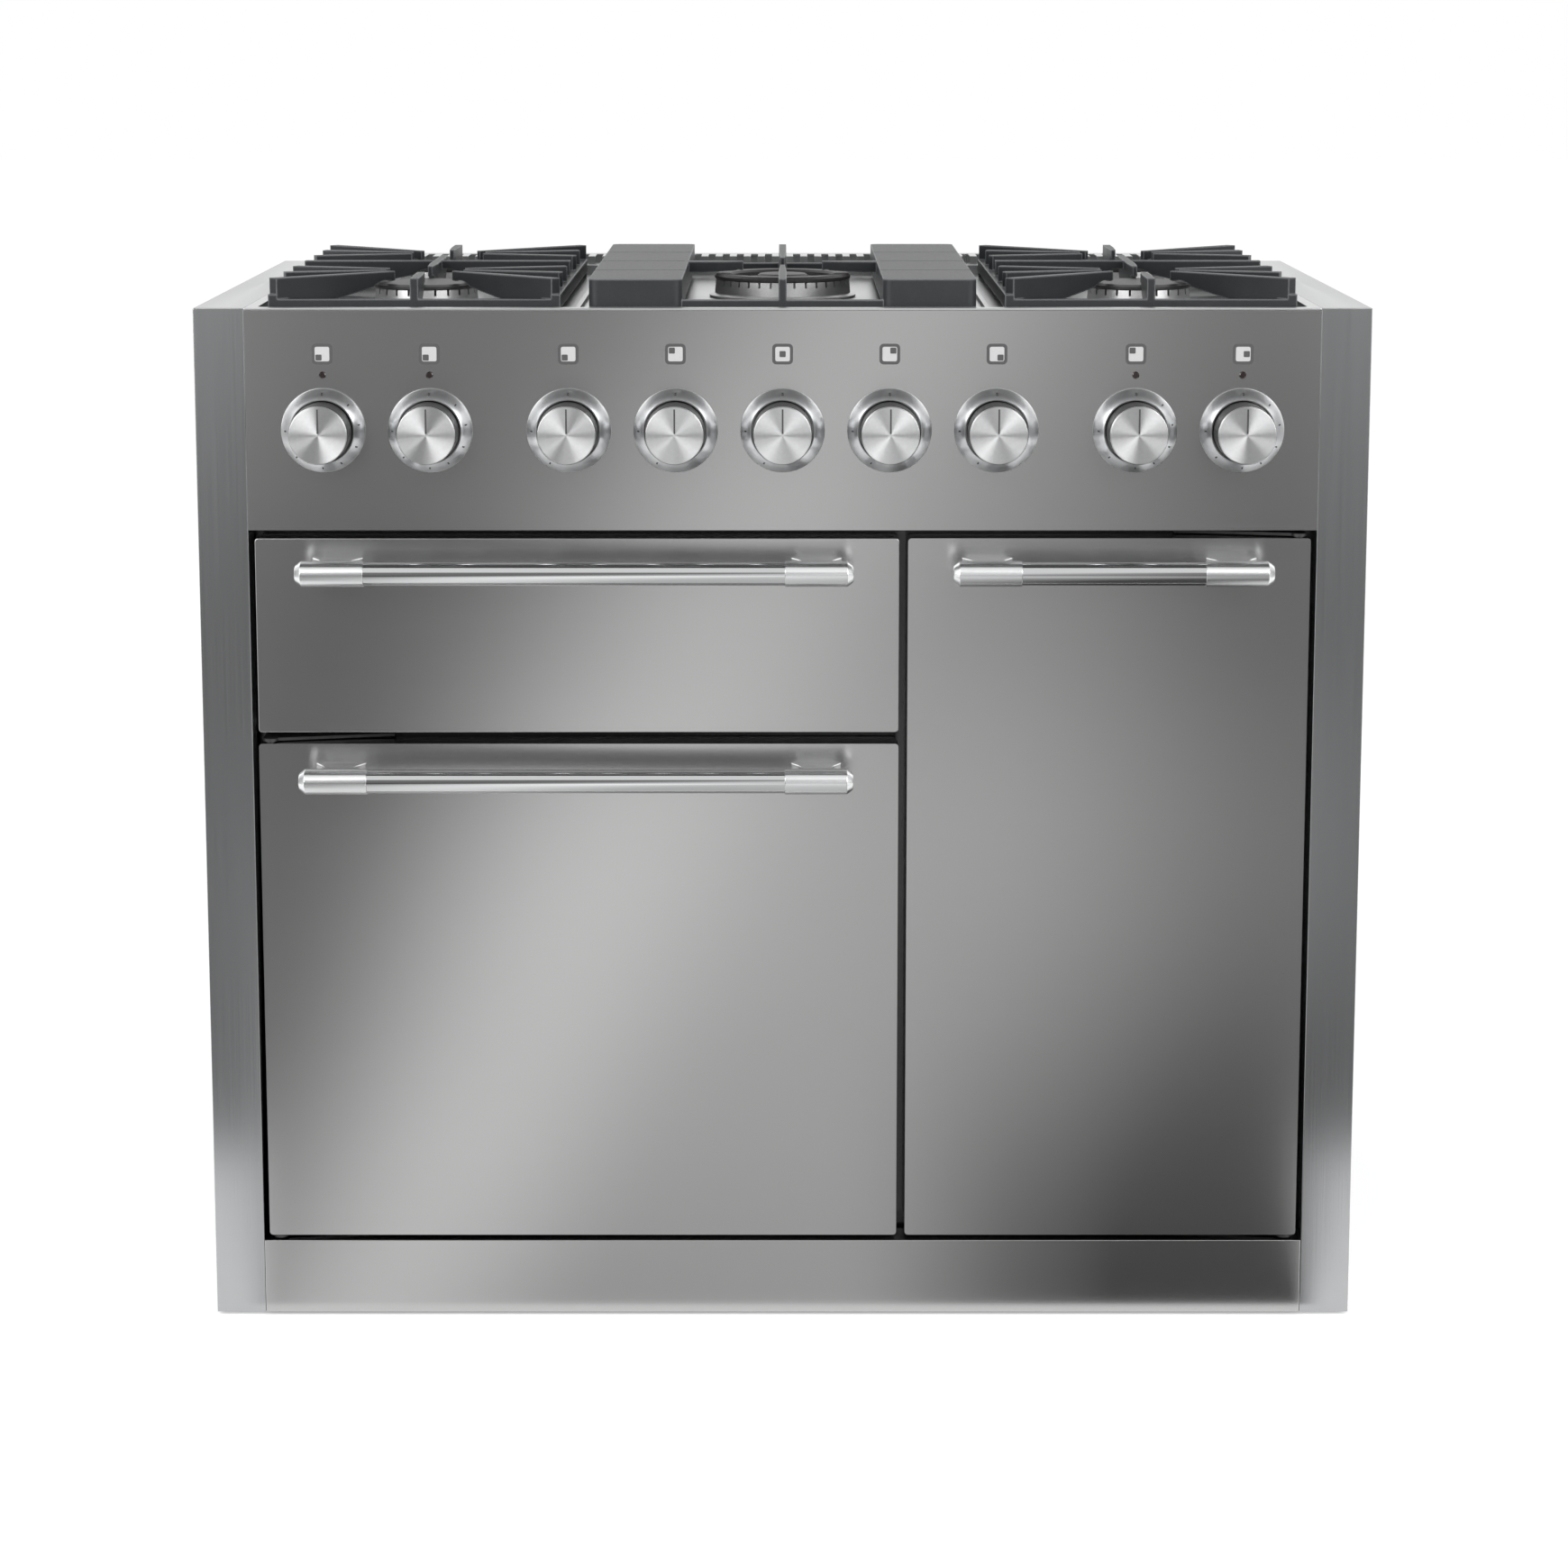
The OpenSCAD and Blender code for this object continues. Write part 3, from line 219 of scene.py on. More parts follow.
def shade(x, z, fade):
    """How dark the front looks at x and z: a slanting window between two dark fields.

    fade thins the shade over the side returns.
    """
    off = x - (z * 0.50 - 0.36)
    fascia = z.step(0.68, 0.86)
    left = (off * -1).step(0.00, 0.26) * 0.76
    right = off.step(0.00, 0.20) * (fascia * 0.13 + 0.32) + x.step(0.16, 0.45) * (fascia * 0.06 + 0.30)
    above = x.step(0.02, 0.12) * z.step(0.50, 0.64) * z.step(0.86, 0.70) * 0.165
    corner = x.step(0.04, 0.22) * z.step(0.42, 0.06) * 0.32
    doors = z.step(0.80, 0.60) * 0.16
    fronts = left + right + above + corner + doors
    outer = abs(x).step(0.44, 0.48)
    returns = z.step(0.95, 0.50) * 0.20 + 0.64
    total = fronts * (1 - outer) + returns * outer * fade
    return total.math("MINIMUM", total, 0.93)


def standing_shade(v):
    """The shade that the fronts mirror from the net before them."""
    across, _, up = v.axes()
    spread = 1 + net_gap / camera_distance
    sight = camera_height * net_gap / camera_distance
    return shade(across / spread, (up + sight) / spread, 1.0) * up.step(1.40, 1.10)


def lying_shade(v):
    """The same shade for the net on the floor, which the lower fronts mirror."""
    across, along, _ = v.axes()
    gap = front_y - along
    reach = gap + camera_distance
    return shade(across * camera_distance / reach, gap * camera_height / reach, gap.step(0.40, 0.56))


def side_density(v):
    """Densest level with the fronts, and thinner to the front, the back and the top."""
    _, along, up = v.axes()
    return abs(along - front_y).step(0.60, 0.30) * up.step(1.7, 1.2) * 0.60


net_gap = 1.50
net_half = 1.80
net_top = 1.40
side_x = 2.40
side_top = 1.80
near, far = front_y - 0.02, front_y - net_gap
side_near, side_far = near + 0.50, front_y - 0.70
nets = [
    net("front_net", (-net_half, far, 0.004), (net_half, far, net_top), standing_shade),
    net("floor_net", (-net_half, far, 0.003), (net_half, near, 0.003), lying_shade),
    net("ceiling_net", (-3.0, front_y - 0.8, 2.6), (3.0, 0.6, 2.6), lambda v: 0.94),
    net("left_net", (-side_x, side_far, 0), (-side_x, side_near, side_top), side_density),
    net("right_net", (side_x, side_far, 0), (side_x, side_near, side_top), side_density),
]
# A thinner flag over the fascia also stops light, so that the hob doesn't glare from behind.
hob_flag = net("hob_flag", (-0.8, near, 0.93), (0.8, near, 1.36), lambda v: 0.62)
hob_flag.visible_shadow = True


def lamp(name, power, width, height, place, target):
    """A rectangular soft lamp that shines from its place to the target."""
    light = bpy.data.lights.new(name, "AREA")
    light.shape = "RECTANGLE"
    light.size, light.size_y, light.energy = width, height, power
    made = bpy.data.objects.new(name, light)
    made.location = place
    made.rotation_euler = (Vector(target) - Vector(place)).to_track_quat("-Z", "Y").to_euler()
    bpy.context.scene.collection.objects.link(made)


lamp_x, lamp_y, lamp_z = 2.05, front_y - 2.1, 1.75
lamp("left_lamp", 72, 2.4, 2.2, (-lamp_x, lamp_y, lamp_z), (0, front_y, 0.7))
lamp("right_lamp", 68, 2.4, 2.2, (lamp_x, lamp_y, lamp_z), (0, front_y, 0.7))
lamp("top_lamp", 32, 4.0, 2.6, (0, 0.4, 3.2), (0, 0, 0.9))


# The two side panels: satin stainless sheet, folded in one piece with its front, top and rear
# returns. Their grain runs upright, and they look cooler than the fronts.
def dress(made, material):
    """Puts one material on a CAD node or a new piece."""
    made.data.materials.clear()
    made.data.materials.append(material)


def soften(made, width):
    """Rounds the sharp edges of a folded or pressed CAD node by modifiers alone."""
    weld = made.modifiers.new("weld", "WELD")
    weld.merge_threshold = 0.00001
    flat = made.modifiers.new("flat", "DECIMATE")
    flat.decimate_type = "DISSOLVE"
    flat.angle_limit = math.radians(0.5)
    bevel = made.modifiers.new("edge", "BEVEL")
    bevel.width = width
    bevel.segments = 2
    bevel.limit_method = "ANGLE"
    bevel.angle_limit = math.radians(35)
    bevel.use_clamp_overlap = True
    weighted = made.modifiers.new("shade", "WEIGHTED_NORMAL")
    weighted.weight = 50


def side_steel_sockets(v):
    grain = v.noise((900, 900, 6), 3)
    cloud = v.noise((1.2, 1.2, 1.6), 2)
    tone = grain * 0.16 + cloud * 0.20
    return {
        "Base Color": tone.mix(grey(0.38, -0.016), grey(0.56, -0.008)),
        "Metallic": 1.0,
        "Roughness": 0.19 + grain * 0.08,
        "Anisotropic": 0.4,
        "Normal": v.node("Bump", {}, {"Height": grain, "Strength": 0.05, "Distance": 0.0004}),
    }


side_steel = finish("satin_side_steel", side_steel_sockets)
for side in ("left", "right"):
    panel = nodes["side_panel_" + side]
    dress(panel, side_steel)
    soften(panel, 0.9 * MM)


# The carcass behind them: zinc-coated back sheet with louvres, base tray, and four screw feet
# of blackened steel. The zinc shows its faint crystal pattern.
def zinc_sockets(v):
    spangle = v.node("TexVoronoi", {"feature": "F1"}, {"Vector": v.place((70, 70, 70)), "Scale": 1.0},
                     out=1)
    tone = v.node("SeparateColor", {}, {0: spangle})
    return {
        "Base Color": tone.mix(grey(0.46, -0.02), grey(0.60, -0.03)),
        "Metallic": 1.0,
        "Roughness": 0.42 + tone * 0.14,
    }


def black_foot_sockets(v):
    return {
        "Base Color": v.noise((160, 160, 160), 4).mix(grey(0.03), grey(0.075)),
        "Roughness": 0.45,
        "Metallic": 0.6,
    }


zinc = finish("zinc_coated_sheet", zinc_sockets)
for name in ("back_panel", "base_tray"):
    dress(nodes[name], zinc)
dress(nodes["levelling_feet"], finish("black_oxide", black_foot_sockets))


# Brushed stainless: the fronts, the fascia and the plinth, all polished with one belt, so the
# fine lines run level over every piece and the sheet is a little warm.
def brushed_sockets(v):
    line = v.noise((14, 14, 4200), 2)
    long_line = v.noise((2, 2, 900), 2)
    cloud = v.noise((1.7, 1.7, 2.4), 2)
    tone = line * 0.10 + long_line * 0.06 + cloud * 0.60
    return {
        "Base Color": tone.mix(grey(0.40, 0.004), grey(0.52, 0.002)),
        "Metallic": 1.0,
        "Roughness": 0.185 + line * 0.035 + cloud * 0.03,
        "Anisotropic": 0.55,
        "Anisotropic Rotation": 0.25,
        "Normal": v.node("Bump", {}, {"Height": line, "Strength": 0.006, "Distance": 0.0002}),
    }


brushed = finish("brushed_stainless", brushed_sockets)
for name in ("plinth", "control_fascia", "grill_front", "left_door_panel", "right_door_panel"):
    dress(nodes[name], brushed)
    soften(nodes[name], 0.8 * MM)


# Black vitreous enamel: the plate behind the fronts, the oven and grill liners, the door
# liners and the grill pan. It is glassy, with a faint orange-peel and pale specks.
def enamel_sockets(v):
    peel = v.noise((260, 260, 260), 2)
    speck = v.node("TexVoronoi", {"feature": "F1"}, {"Vector": v.place((900, 900, 900)), "Scale": 1.0})
    return {
        "Base Color": (speck < 0.12).mix(grey(0.012), grey(0.10)),
        "Roughness": 0.16 + peel * 0.08,
        "Coat Weight": 0.4,
        "Normal": v.node("Bump", {}, {"Height": peel, "Strength": 0.12, "Distance": 0.0006}),
    }


enamel = finish("vitreous_enamel", enamel_sockets)
for name in ("front_frame", "left_oven_liner", "right_oven_liner", "grill_liner", "fan_covers",
             "left_door_liner", "right_door_liner", "grill_pan"):
    dress(nodes[name], enamel)


# Door seals: woven glass-fibre rope, laid round each oven's mouth. The front frame holds them,
# so they stay where they are when a door swings.
def seal_sockets(v):
    weave = v.node("TexWave", {"wave_type": "BANDS", "bands_direction": "DIAGONAL"},
                   {"Vector": v.place((700, 700, 700)), "Scale": 1.0, "Distortion": 1.5})
    return {
        "Base Color": weave.mix(grey(0.05), grey(0.16)),
        "Roughness": 0.95,
        "Normal": v.node("Bump", {}, {"Height": weave, "Strength": 0.7, "Distance": 0.001}),
    }


dress(nodes["door_seals"], finish("glass_fibre_seal", seal_sockets))


# Pictograms on the fascia: a printed square for each control, with a dark cell where its
# burner or oven lies. Thin printed plates stand for the enamel print.
knob_low, knob_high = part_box("knob_1")
knob_z = (knob_low.z + knob_high.z) / 2
knob_places = [(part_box(f"knob_{i}")[0].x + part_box(f"knob_{i}")[1].x) / 2 for i in range(1, 10)]
icon_z = knob_z + 65 * MM
icon_half = 8.8 * MM
border_w = 2.6 * MM
cell_half = 2.6 * MM
cell_step = 3.0 * MM
print_t = 0.12 * MM


def new_piece(name, build, body, place=(0, 0, 0), turn=0.0):
    """Makes a built mesh an object that rides on a body, turned about X and set in its place."""
    mesh = bpy.data.meshes.new(name)
    build.to_mesh(mesh)
    made = bpy.data.objects.new(name, mesh)
    made.rotation_euler = (turn, 0, 0)
    made.location = place
    bpy.context.scene.collection.objects.link(made)
    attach(made, body)
    return made


def plates(outlines, travel):
    """A mesh of flat plates, each an outline of (x, y, z) points that is drawn out by travel."""
    build = bmesh.new()
    for outline in outlines:
        face = build.faces.new([build.verts.new(point) for point in outline])
        grown = bmesh.ops.extrude_face_region(build, geom=[face])
        moved = [part for part in grown["geom"] if isinstance(part, bmesh.types.BMVert)]
        bmesh.ops.translate(build, verts=moved, vec=travel)
    bmesh.ops.recalc_face_normals(build, faces=build.faces)
    return build


def round_square(x, z, half, radius, steps=5):
    """The outline of a square with round corners, as (x, z) points."""
    points = []
    for corner in range(4):
        middle = math.radians(45 + 90 * corner)
        cx = x + (half - radius) * math.copysign(1, math.cos(middle))
        cz = z + (half - radius) * math.copysign(1, math.sin(middle))
        for i in range(steps + 1):
            turn = math.radians(90 * corner + 90 * i / steps)
            points.append((cx + radius * math.cos(turn), cz + radius * math.sin(turn)))
    return points


dark_cells = [(-1, -1), (-1, -1), (-1, -1), (-1, 1), (0, 0), (1, 1), (1, -1), (-1, 1), (1, 0)]
outer, inner, cells = [], [], []
for x, (side, level) in zip(knob_places, dark_cells):
    outer.append(round_square(x, icon_z, icon_half, 3.6 * MM))
    inner.append(round_square(x, icon_z, icon_half - border_w, 1.6 * MM))
    cells.append(round_square(x + side * cell_step, icon_z + level * cell_step, cell_half, 0.8 * MM))
print_dark = finish("dark_print", lambda v: {
    "Base Color": v.noise((900, 900, 900)).mix(grey(0.050), grey(0.070)), "Roughness": 0.5})
print_pale = finish("pale_print", lambda v: {
    "Base Color": v.noise((900, 900, 900)).mix(grey(0.42), grey(0.48)), "Roughness": 0.45})
for name, outlines, y, paint in (
        ("icon_borders", outer, front_y, print_dark),
        ("icon_fields", inner, front_y - print_t, print_pale),
        ("icon_cells", cells, front_y - 2 * print_t, print_dark)):
    build = plates([[(x, y, z) for x, z in outline] for outline in outlines], (0, -print_t, 0))
    dress(new_piece(name, build, "cooker"), paint)


# Neon lamps: small smoked lenses over the oven and grill controls, pushed through the fascia
# from behind. They are unlit.
def lens_sockets(v):
    return {
        "Base Color": v.noise((500, 500, 500)).mix((0.012, 0.008, 0.008, 1), (0.022, 0.013, 0.012, 1)),
        "Roughness": 0.12,
        "Coat Weight": 0.5,
    }


dress(nodes["indicator_lamps"], finish("neon_lens", lens_sockets))


# Bezels: nine turned and chromed rings round the knobs, with a rounded shoulder that is polished
# round its own axis. Engraved marks are filled in black: a scale on the ovens, three on the taps.
def crisp(made):
    """Shades a turned piece smooth and keeps its machined edges sharp."""
    made.data.shade_smooth()
    made.data.set_sharp_from_angle(angle=math.radians(28))
    made.modifiers.new("shade", "WEIGHTED_NORMAL").keep_sharp = True


def turned_piece(name, profile, x, z, body, steps=96):
    """A lathe-turned piece: (radius, height) points turned about an axis out of the front."""
    turns = [2 * math.pi * i / steps for i in range(steps)]
    build = bmesh.new()
    rings = []
    for radius, height in profile:
        spokes = turns if radius else [0]
        rings.append([build.verts.new((radius * math.cos(turn), radius * math.sin(turn), height))
                      for turn in spokes])
    pairs = list(zip(rings, rings[1:]))
    if len(rings[0]) > 1 and len(rings[-1]) > 1:
        pairs.append((rings[-1], rings[0]))
    for before, after in pairs:
        for i in range(steps):
            j = (i + 1) % steps
            corners = [before[i % len(before)], before[j % len(before)],
                       after[j % len(after)], after[i % len(after)]]
            unique = list(dict.fromkeys(corners))
            if len(unique) > 2:
                build.faces.new(unique)
    bmesh.ops.recalc_face_normals(build, faces=build.faces)
    made = new_piece(name, build, body, (x, front_y, z), math.pi / 2)
    crisp(made)
    return made


def bezel_sockets(v):
    ring = v.noise((260, 260, 260), 2)
    return {
        "Base Color": ring.mix(grey(0.62, -0.014), grey(0.70, -0.014)),
        "Metallic": 1.0,
        "Roughness": 0.27 + ring * 0.04,
        "Anisotropic": 0.35,
        "Anisotropic Rotation": 0.25,
    }


bezel_chrome = finish("satin_chrome", bezel_sockets)
mark_black = finish("mark_fill", lambda v: {
    "Base Color": v.noise((900, 900, 900)).mix(grey(0.02), grey(0.05)), "Roughness": 0.6})
bezel_r = (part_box("knob_bezels")[1].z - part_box("knob_bezels")[0].z) / 2
bezel_h = front_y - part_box("knob_bezels")[0].y
knob_r = (knob_high.z - knob_low.z) / 2
groove_r = knob_r + 0.8 * MM
crest_r = groove_r + 1.2 * MM
rim_h = 3 * MM
bezel_floor = 2 * MM
shoulder_w = bezel_r - 0.3 * MM - crest_r
shoulder_h = bezel_h - rim_h
shoulder = [(bezel_r - 0.3 * MM - shoulder_w * part, rim_h + shoulder_h * part * (1.3 - 0.3 * part))
            for part in (i / 8 for i in range(9))]
bezel_profile = [
    (6 * MM, 0), (bezel_r, 0), (bezel_r, 2 * MM), (bezel_r - 0.1 * MM, 2.6 * MM), *shoulder,
    (crest_r - 0.3 * MM, bezel_h), (groove_r + 0.3 * MM, bezel_h - 0.1 * MM),
    (groove_r, bezel_h - 0.4 * MM), (groove_r, bezel_floor), (6 * MM, bezel_floor)]
oven_marks = [0, 45, 80, 115, 150, 180, 225, 270]
gas_marks = [0, -90, -150]
gas_controls = range(3, 8)
halfway = 0.5
mark_r = bezel_r - 0.3 * MM - shoulder_w * halfway
mark_h = rim_h + shoulder_h * halfway * (1.3 - 0.3 * halfway)
mark_slope = math.atan2(shoulder_h * (1.3 - 0.6 * halfway), shoulder_w)
mark_t = 0.56 * MM
mark_sunk = 0.22 * MM
for i, x in enumerate(knob_places, 1):
    bezel = turned_piece(f"bezel_{i}", bezel_profile, x, knob_z, "cooker")
    dress(bezel, bezel_chrome)
    build = bmesh.new()
    for mark in gas_marks if i in gas_controls else oven_marks:
        length, width = (3.6 * MM, 1.8 * MM) if mark == 0 else (2.8 * MM, 1.3 * MM)
        block = bmesh.ops.create_cube(build, size=1)["verts"]
        placed = (Matrix.Rotation(-math.radians(mark), 4, "Z")
                  @ Matrix.Translation((0, mark_r, mark_h))
                  @ Matrix.Rotation(-mark_slope, 4, "X")
                  @ Matrix.Translation((0, 0, -mark_sunk))
                  @ Matrix.Diagonal((width, length, mark_t, 1)))
        bmesh.ops.transform(build, matrix=placed, verts=block)
    marks = new_piece(f"bezel_marks_{i}", build, "cooker", (x, front_y, knob_z), math.pi / 2)
    dress(marks, mark_black)
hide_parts("knob_bezels")


# Knobs: a black moulded body carries a spun aluminium face, whose rings throw the light into
# cones. The face has a turned-down rim and a milled pointer line filled with dark paint.
def knob_sockets(v):
    ring = v.noise((420, 420, 420), 3)
    return {
        "Base Color": ring.mix(grey(0.56, -0.006), grey(0.66, -0.006)),
        "Metallic": 1.0,
        "Roughness": 0.33 + ring * 0.03,
        "Anisotropic": 1.0,
        "Anisotropic Rotation": 0.25,
    }


def moulding_sockets(v):
    grain = v.noise((600, 600, 600), 3)
    return {
        "Base Color": grain.mix(grey(0.02), grey(0.035)),
        "Roughness": 0.32 + grain * 0.10,
        "Metallic": 0.3,
    }


knob_alu = finish("spun_aluminium", knob_sockets)
moulding = finish("black_moulding", moulding_sockets)
knob_out = front_y - knob_low.y
skirt = 6 * MM
face_t = 3 * MM
body_profile = [
    (0, skirt + 4 * MM), (9 * MM, skirt + 4 * MM), (9 * MM, knob_out - 6 * MM),
    (knob_r - 3 * MM, knob_out - 6 * MM), (knob_r - 2 * MM, skirt), (knob_r, skirt),
    (knob_r - 0.5 * MM, knob_out - face_t), (0, knob_out - face_t)]
face_profile = [
    (0, knob_out - face_t), (knob_r - 0.9 * MM, knob_out - face_t),
    (knob_r - 0.9 * MM, knob_out - 1.3 * MM), (knob_r - 1.1 * MM, knob_out - 0.6 * MM),
    (knob_r - 1.5 * MM, knob_out - 0.15 * MM), (knob_r - 2.1 * MM, knob_out),
    (0, knob_out - 0.5 * MM)]
line_w = 1.4 * MM
line_l = (knob_r - 3 * MM) * 0.92
line_up = (knob_r - 3 * MM) * 0.53
line_t = 0.9 * MM
for i, x in enumerate(knob_places, 1):
    rider = f"control_{i}"
    knob_body = turned_piece(f"knob_body_{i}", body_profile, x, knob_z, rider)
    dress(knob_body, moulding)
    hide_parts(f"knob_{i}")
    face = turned_piece(f"knob_face_{i}", face_profile, x, knob_z, rider)
    dress(face, knob_alu)
    build = bmesh.new()
    bar = bmesh.ops.create_cube(build, size=1)["verts"]
    bmesh.ops.transform(build, verts=bar, matrix=Matrix.Translation(
        (0, line_up, knob_out - 0.33 * MM)) @ Matrix.Diagonal((line_w, line_l, line_t, 1)))
    pointer = new_piece(f"knob_line_{i}", build, rider, (x, front_y, knob_z), math.pi / 2)
    dress(pointer, mark_black)


# The hob: a pressed stainless top with a sunk floor, bright from its polishing, and the flue
# strip behind it with its row of slots.
def hob_steel_sockets(v):
    line = v.noise((500, 14, 14), 2)
    cloud = v.noise((6, 6, 6), 2)
    return {
        "Base Color": (line * 0.2 + cloud * 0.4).mix(grey(0.54, -0.008), grey(0.68, -0.008)),
        "Metallic": 1.0,
        "Roughness": 0.24 + line * 0.05 + cloud * 0.05,
    }


hob_steel = finish("polished_hob_steel", hob_steel_sockets)
for name in ("hob_tray", "rear_vent"):
    dress(nodes[name], hob_steel)
    soften(nodes[name], 0.5 * MM)


# Burners: die-cast aluminium bases and crowns with sawn flame ports, under caps of matt black
# enamelled steel.
def cast_alu_sockets(v):
    grain = v.noise((700, 700, 700), 4)
    return {
        "Base Color": grain.mix(grey(0.70), grey(0.86)),
        "Metallic": 1.0,
        "Roughness": 0.34 + grain * 0.15,
        "Normal": v.node("Bump", {}, {"Height": grain, "Strength": 0.15, "Distance": 0.0005}),
    }


def cap_sockets(v):
    grain = v.noise((420, 420, 420), 3)
    return {
        "Base Color": grain.mix(grey(0.018), grey(0.05)),
        "Roughness": 0.38 + grain * 0.14,
        "Normal": v.node("Bump", {}, {"Height": grain, "Strength": 0.12, "Distance": 0.0005}),
    }


dress(nodes["burner_bases"], finish("die_cast_aluminium", cast_alu_sockets))
dress(nodes["burner_caps"], finish("cap_enamel", cap_sockets))


# Pan supports: three grey-iron castings under matt enamel. The skin keeps the sand's grain,
# and every sharp edge is painted paler: partly wear from handling, partly a painted highlight.
def cast_iron_sockets(v):
    grain = v.noise((420, 420, 420), 4, 0.6)
    patch = v.noise((26, 26, 26), 3)
    soft = v.node("Bevel", {"samples": 6}, {"Radius": 0.0024})
    sharp = v.node("NewGeometry", out=1)
    edge = 1 - v.node("VectorMath", {"operation": "DOT_PRODUCT"}, {0: soft, 1: sharp}, out=1)
    # Sharp edges turn paler: partly worn enamel, partly a painted highlight where light catches them.
    wear_and_highlight = (edge * 5 + grain * 0.06).step(0.10, 0.7)
    base = (grain * 0.4 + patch * 0.6).mix(grey(0.026, -0.06), grey(0.046, -0.06))
    return {
        "Base Color": (wear_and_highlight * 0.65).mix(base, grey(0.31, -0.04)),
        "Roughness": 0.34 + grain * 0.14,
        "Specular IOR Level": 0.26,
        "Normal": v.node("Bump", {}, {"Height": grain, "Strength": 0.16, "Distance": 0.0005,
                                      "Normal": soft}),
    }


cast_iron = finish("enamelled_cast_iron", cast_iron_sockets)
for part in ("left", "centre", "right"):
    dress(nodes["pan_support_" + part], cast_iron)


# Handles: a polished bar gripped by two satin sleeves with chamfered noses. Each sleeve
# stands on a waisted bracket that is screwed through the front.
def handle_metal(light, rough, anisotropy):
    """The sockets of a drawn bar or sleeve, whose fine lines run along it."""
    def sockets(v):
        line = v.noise((6, 2400, 2400), 2)
        return {
            "Base Color": line.mix(grey(light - 0.05, -0.008), grey(light + 0.03, -0.008)),
            "Metallic": 1.0,
            "Roughness": rough + line * 0.03,
            "Anisotropic": anisotropy,
        }
    return sockets


bar_polish = finish("polished_bar", handle_metal(0.60, 0.08, 0.0))
sleeve_satin = finish("satin_sleeve", handle_metal(0.72, 0.24, 0.3))


def lathe_x(name, profile, place, body, steps=64):
    """A round piece along X: (x, radius) points turned about its axis, closed at both ends."""
    turns = [2 * math.pi * i / steps for i in range(steps)]
    build = bmesh.new()
    rings = [[build.verts.new((x, radius * math.cos(turn), radius * math.sin(turn))) for turn in turns]
             for x, radius in profile]
    for before, after in zip(rings, rings[1:]):
        for i in range(steps):
            j = (i + 1) % steps
            build.faces.new([before[i], before[j], after[j], after[i]])
    build.faces.new(rings[0])
    build.faces.new(list(reversed(rings[-1])))
    bmesh.ops.recalc_face_normals(build, faces=build.faces)
    made = new_piece(name, build, body, place)
    crisp(made)
    return made


sleeve_l = 58 * MM
sleeve_r = 11 * MM
bar_r = 10 * MM
nose = 5 * MM
bar_in = 11 * MM
foot_half = 22 * MM
waist_in = 9 * MM
bracket_h = 15 * MM


def sleeve_profile(half):
    """The (x, radius) points of a sleeve whose nose ends at x = half."""
    root = half - sleeve_l
    return [(root, bar_r + 0.1 * MM), (root, sleeve_r - 0.5 * MM),
            (root + 0.2 * MM, sleeve_r - 0.1 * MM), (root + 0.6 * MM, sleeve_r),
            (half - nose - 0.5 * MM, sleeve_r), (half - nose, sleeve_r - 0.2 * MM),
            (half - 0.8 * MM, sleeve_r - nose + 1.6 * MM), (half, sleeve_r - nose + 0.6 * MM)]


def handle_bracket(name, x, axis, body, steps=20):
    """A bracket from the sleeve's axis back to the front, drawn in to a waist halfway."""
    reach = front_y - axis.y
    outline = []
    for edge in (-1, 1):
        for i in range(steps + 1):
            way = i / steps if edge < 0 else 1 - i / steps
            pinch = math.sin(math.pi * way) ** 1.2
            outline.append((x + edge * (foot_half - waist_in * pinch), axis.y + reach * way,
                            axis.z - bracket_h / 2))
    made = new_piece(name, plates([outline], (0, 0, bracket_h)), body)
    round_over = made.modifiers.new("edge", "BEVEL")
    round_over.width = 0.8 * MM
    round_over.segments = 2
    round_over.limit_method = "ANGLE"
    round_over.angle_limit = math.radians(50)
    made.modifiers.new("shade", "WEIGHTED_NORMAL")
    return made


for node, body in (("grill_handle", "grill_drawer"), ("left_door_handle", "left_door"),
                   ("right_door_handle", "right_door")):
    low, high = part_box(node)
    axis = Vector(((low.x + high.x) / 2, low.y + sleeve_r, (low.z + high.z) / 2))
    half = (high.x - low.x) / 2
    bar = lathe_x(node + "_bar", [(-half + bar_in, bar_r), (half - bar_in, bar_r)], axis, body)
    dress(bar, bar_polish)
    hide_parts(node)
    for end, side in (("left", -1), ("right", 1)):
        sleeve = lathe_x(f"{node}_sleeve_{end}", [(side * x, r) for x, r in sleeve_profile(half)],
                         axis, body)
        dress(sleeve, sleeve_satin)
        bracket_x = axis.x + side * (half - sleeve_l / 2 - 2 * MM)
        bracket = handle_bracket(f"{node}_bracket_{end}", bracket_x, axis, body)
        dress(bracket, sleeve_satin)


# Inside the ovens and the grill: plated wire shelves and racks, fan wheels of aluminised
# steel, grey motors, and heating elements whose sheaths have browned.
def wire_sockets(v):
    return {
        "Base Color": v.noise((300, 300, 300), 3).mix(grey(0.56), grey(0.70)),
        "Metallic": 1.0,
        "Roughness": 0.22,
    }


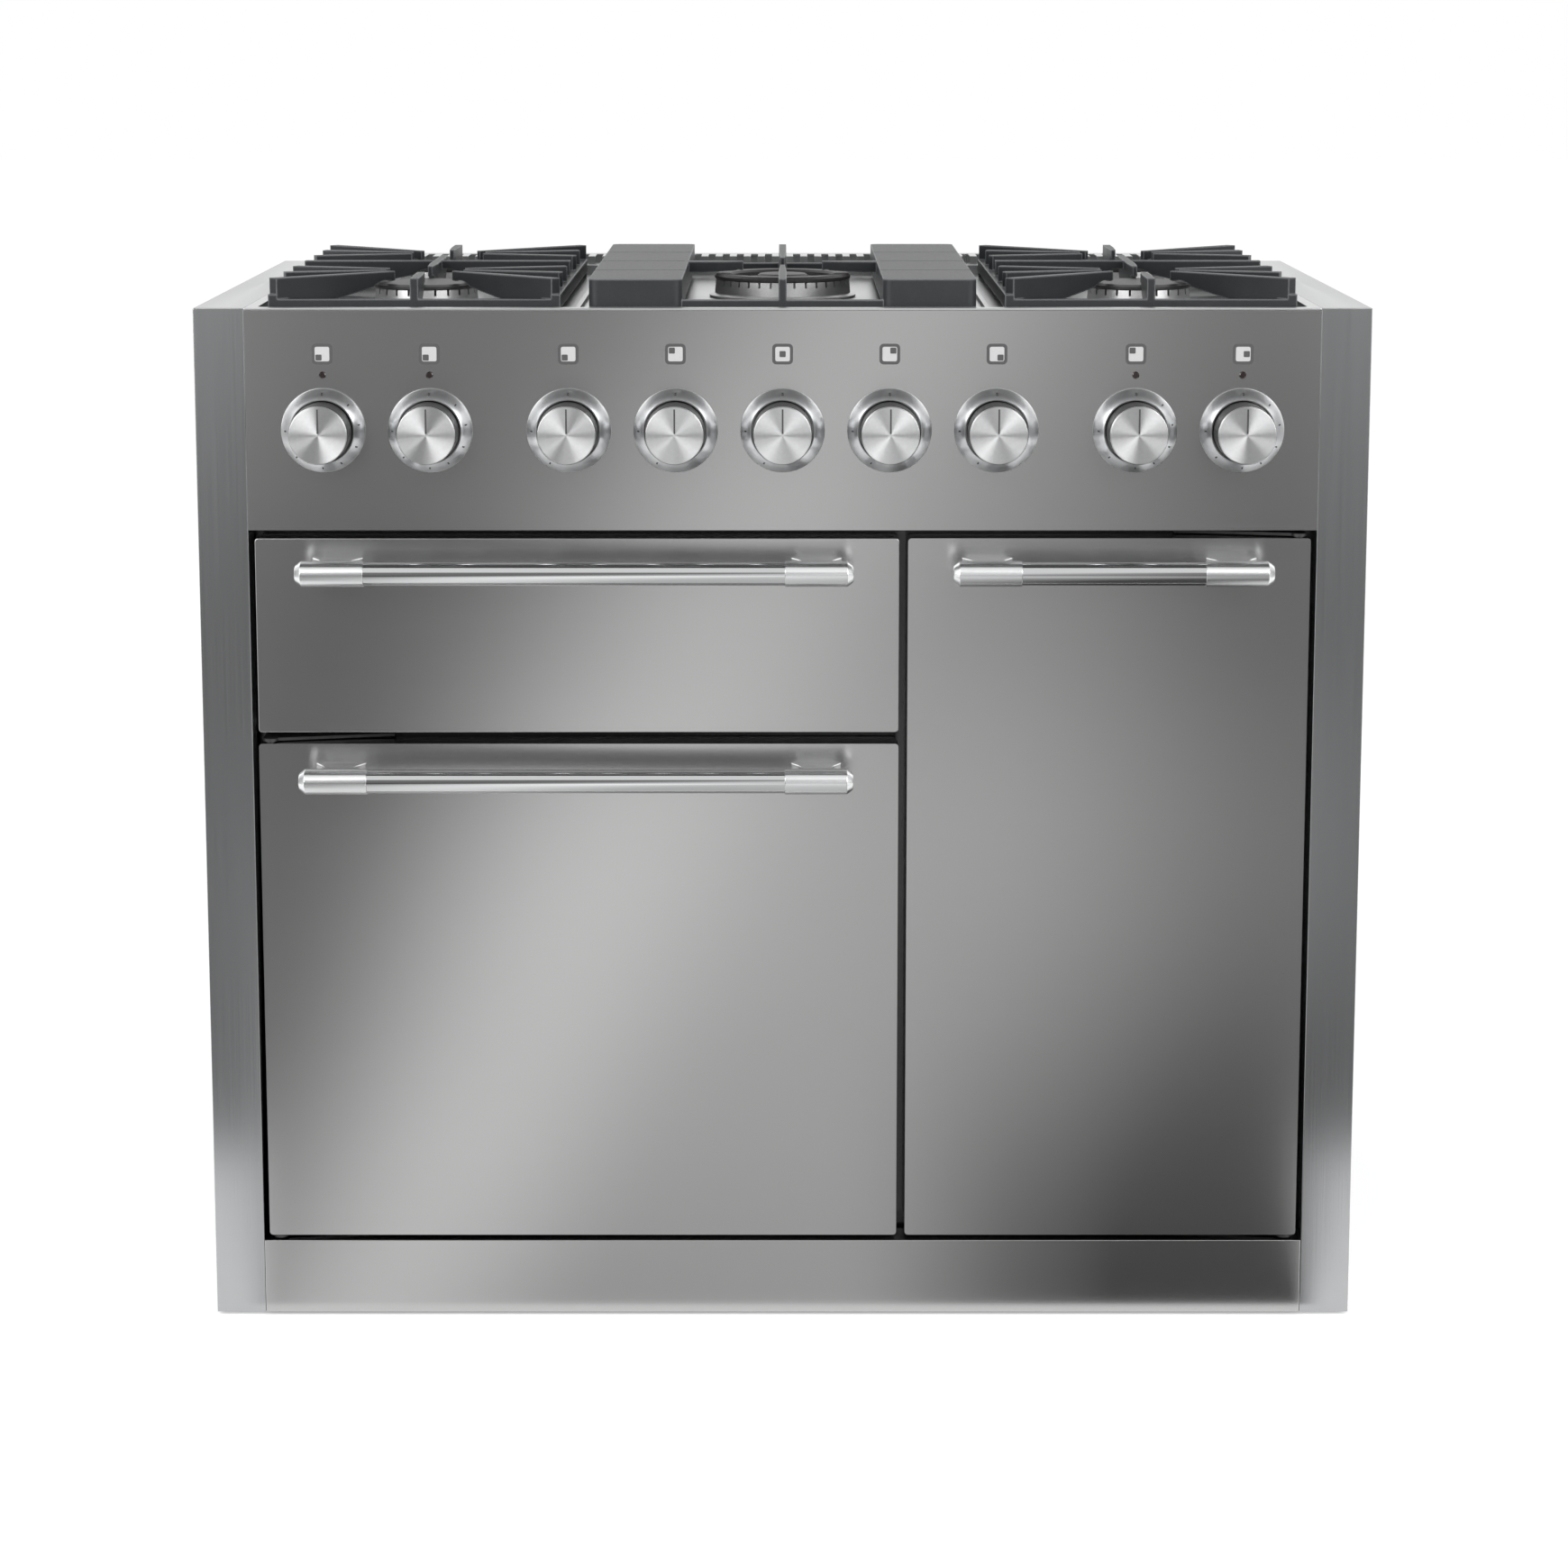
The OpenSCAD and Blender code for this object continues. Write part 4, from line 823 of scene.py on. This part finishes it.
def runner_sockets(v):
    grain = v.noise((60, 600, 60), 3)
    return {
        "Base Color": grain.mix(grey(0.48, -0.02), grey(0.62, -0.02)),
        "Metallic": 1.0,
        "Roughness": 0.34 + grain * 0.1,
    }


def motor_sockets(v):
    return {
        "Base Color": v.noise((220, 220, 220), 3).mix(grey(0.26), grey(0.34)),
        "Roughness": 0.5,
        "Metallic": 0.3,
    }


def element_sockets(v):
    scale = v.noise((160, 160, 160), 4)
    return {
        "Base Color": scale.mix((0.10, 0.075, 0.06, 1), (0.22, 0.18, 0.15, 1)),
        "Roughness": 0.62,
        "Metallic": 0.5,
        "Normal": v.node("Bump", {}, {"Height": scale, "Strength": 0.2, "Distance": 0.0004}),
    }


wire = finish("plated_wire", wire_sockets)
runner = finish("zinc_plated_runner", runner_sockets)
element = finish("browned_element", element_sockets)
for name in ("shelf_racks", "left_oven_shelves", "right_oven_shelves", "grill_trivet"):
    dress(nodes[name], wire)
dress(nodes["hinge_brackets"], finish("blackened_steel", black_foot_sockets))
for name in ("grill_rails", "grill_rail_slides", "grill_carriage"):
    dress(nodes[name], runner)
for name in ("left_fan", "right_fan"):
    dress(nodes[name], runner)
for name in ("fan_elements", "grill_element"):
    dress(nodes[name], element)
dress(nodes["fan_motors"], finish("motor_paint", motor_sockets))


# Behind the fascia: the brass gas rail with its taps, spindles and burner pipes, and the
# moulded oven switches.
def brass_sockets(v):
    tarnish = v.noise((90, 90, 90), 4)
    return {
        "Base Color": tarnish.mix((0.55, 0.38, 0.16, 1), (0.76, 0.58, 0.28, 1)),
        "Metallic": 1.0,
        "Roughness": 0.28 + tarnish * 0.16,
    }


def switch_sockets(v):
    return {
        "Base Color": v.noise((200, 200, 200), 2).mix(grey(0.70, 0.02), grey(0.78, 0.02)),
        "Roughness": 0.55,
    }


brass = finish("turned_brass", brass_sockets)
dress(nodes["gas_rail"], brass)
for i in gas_controls:
    dress(nodes[f"tap_spindle_{i}"], brass)
dress(nodes["oven_switches"], finish("switch_moulding", switch_sockets))
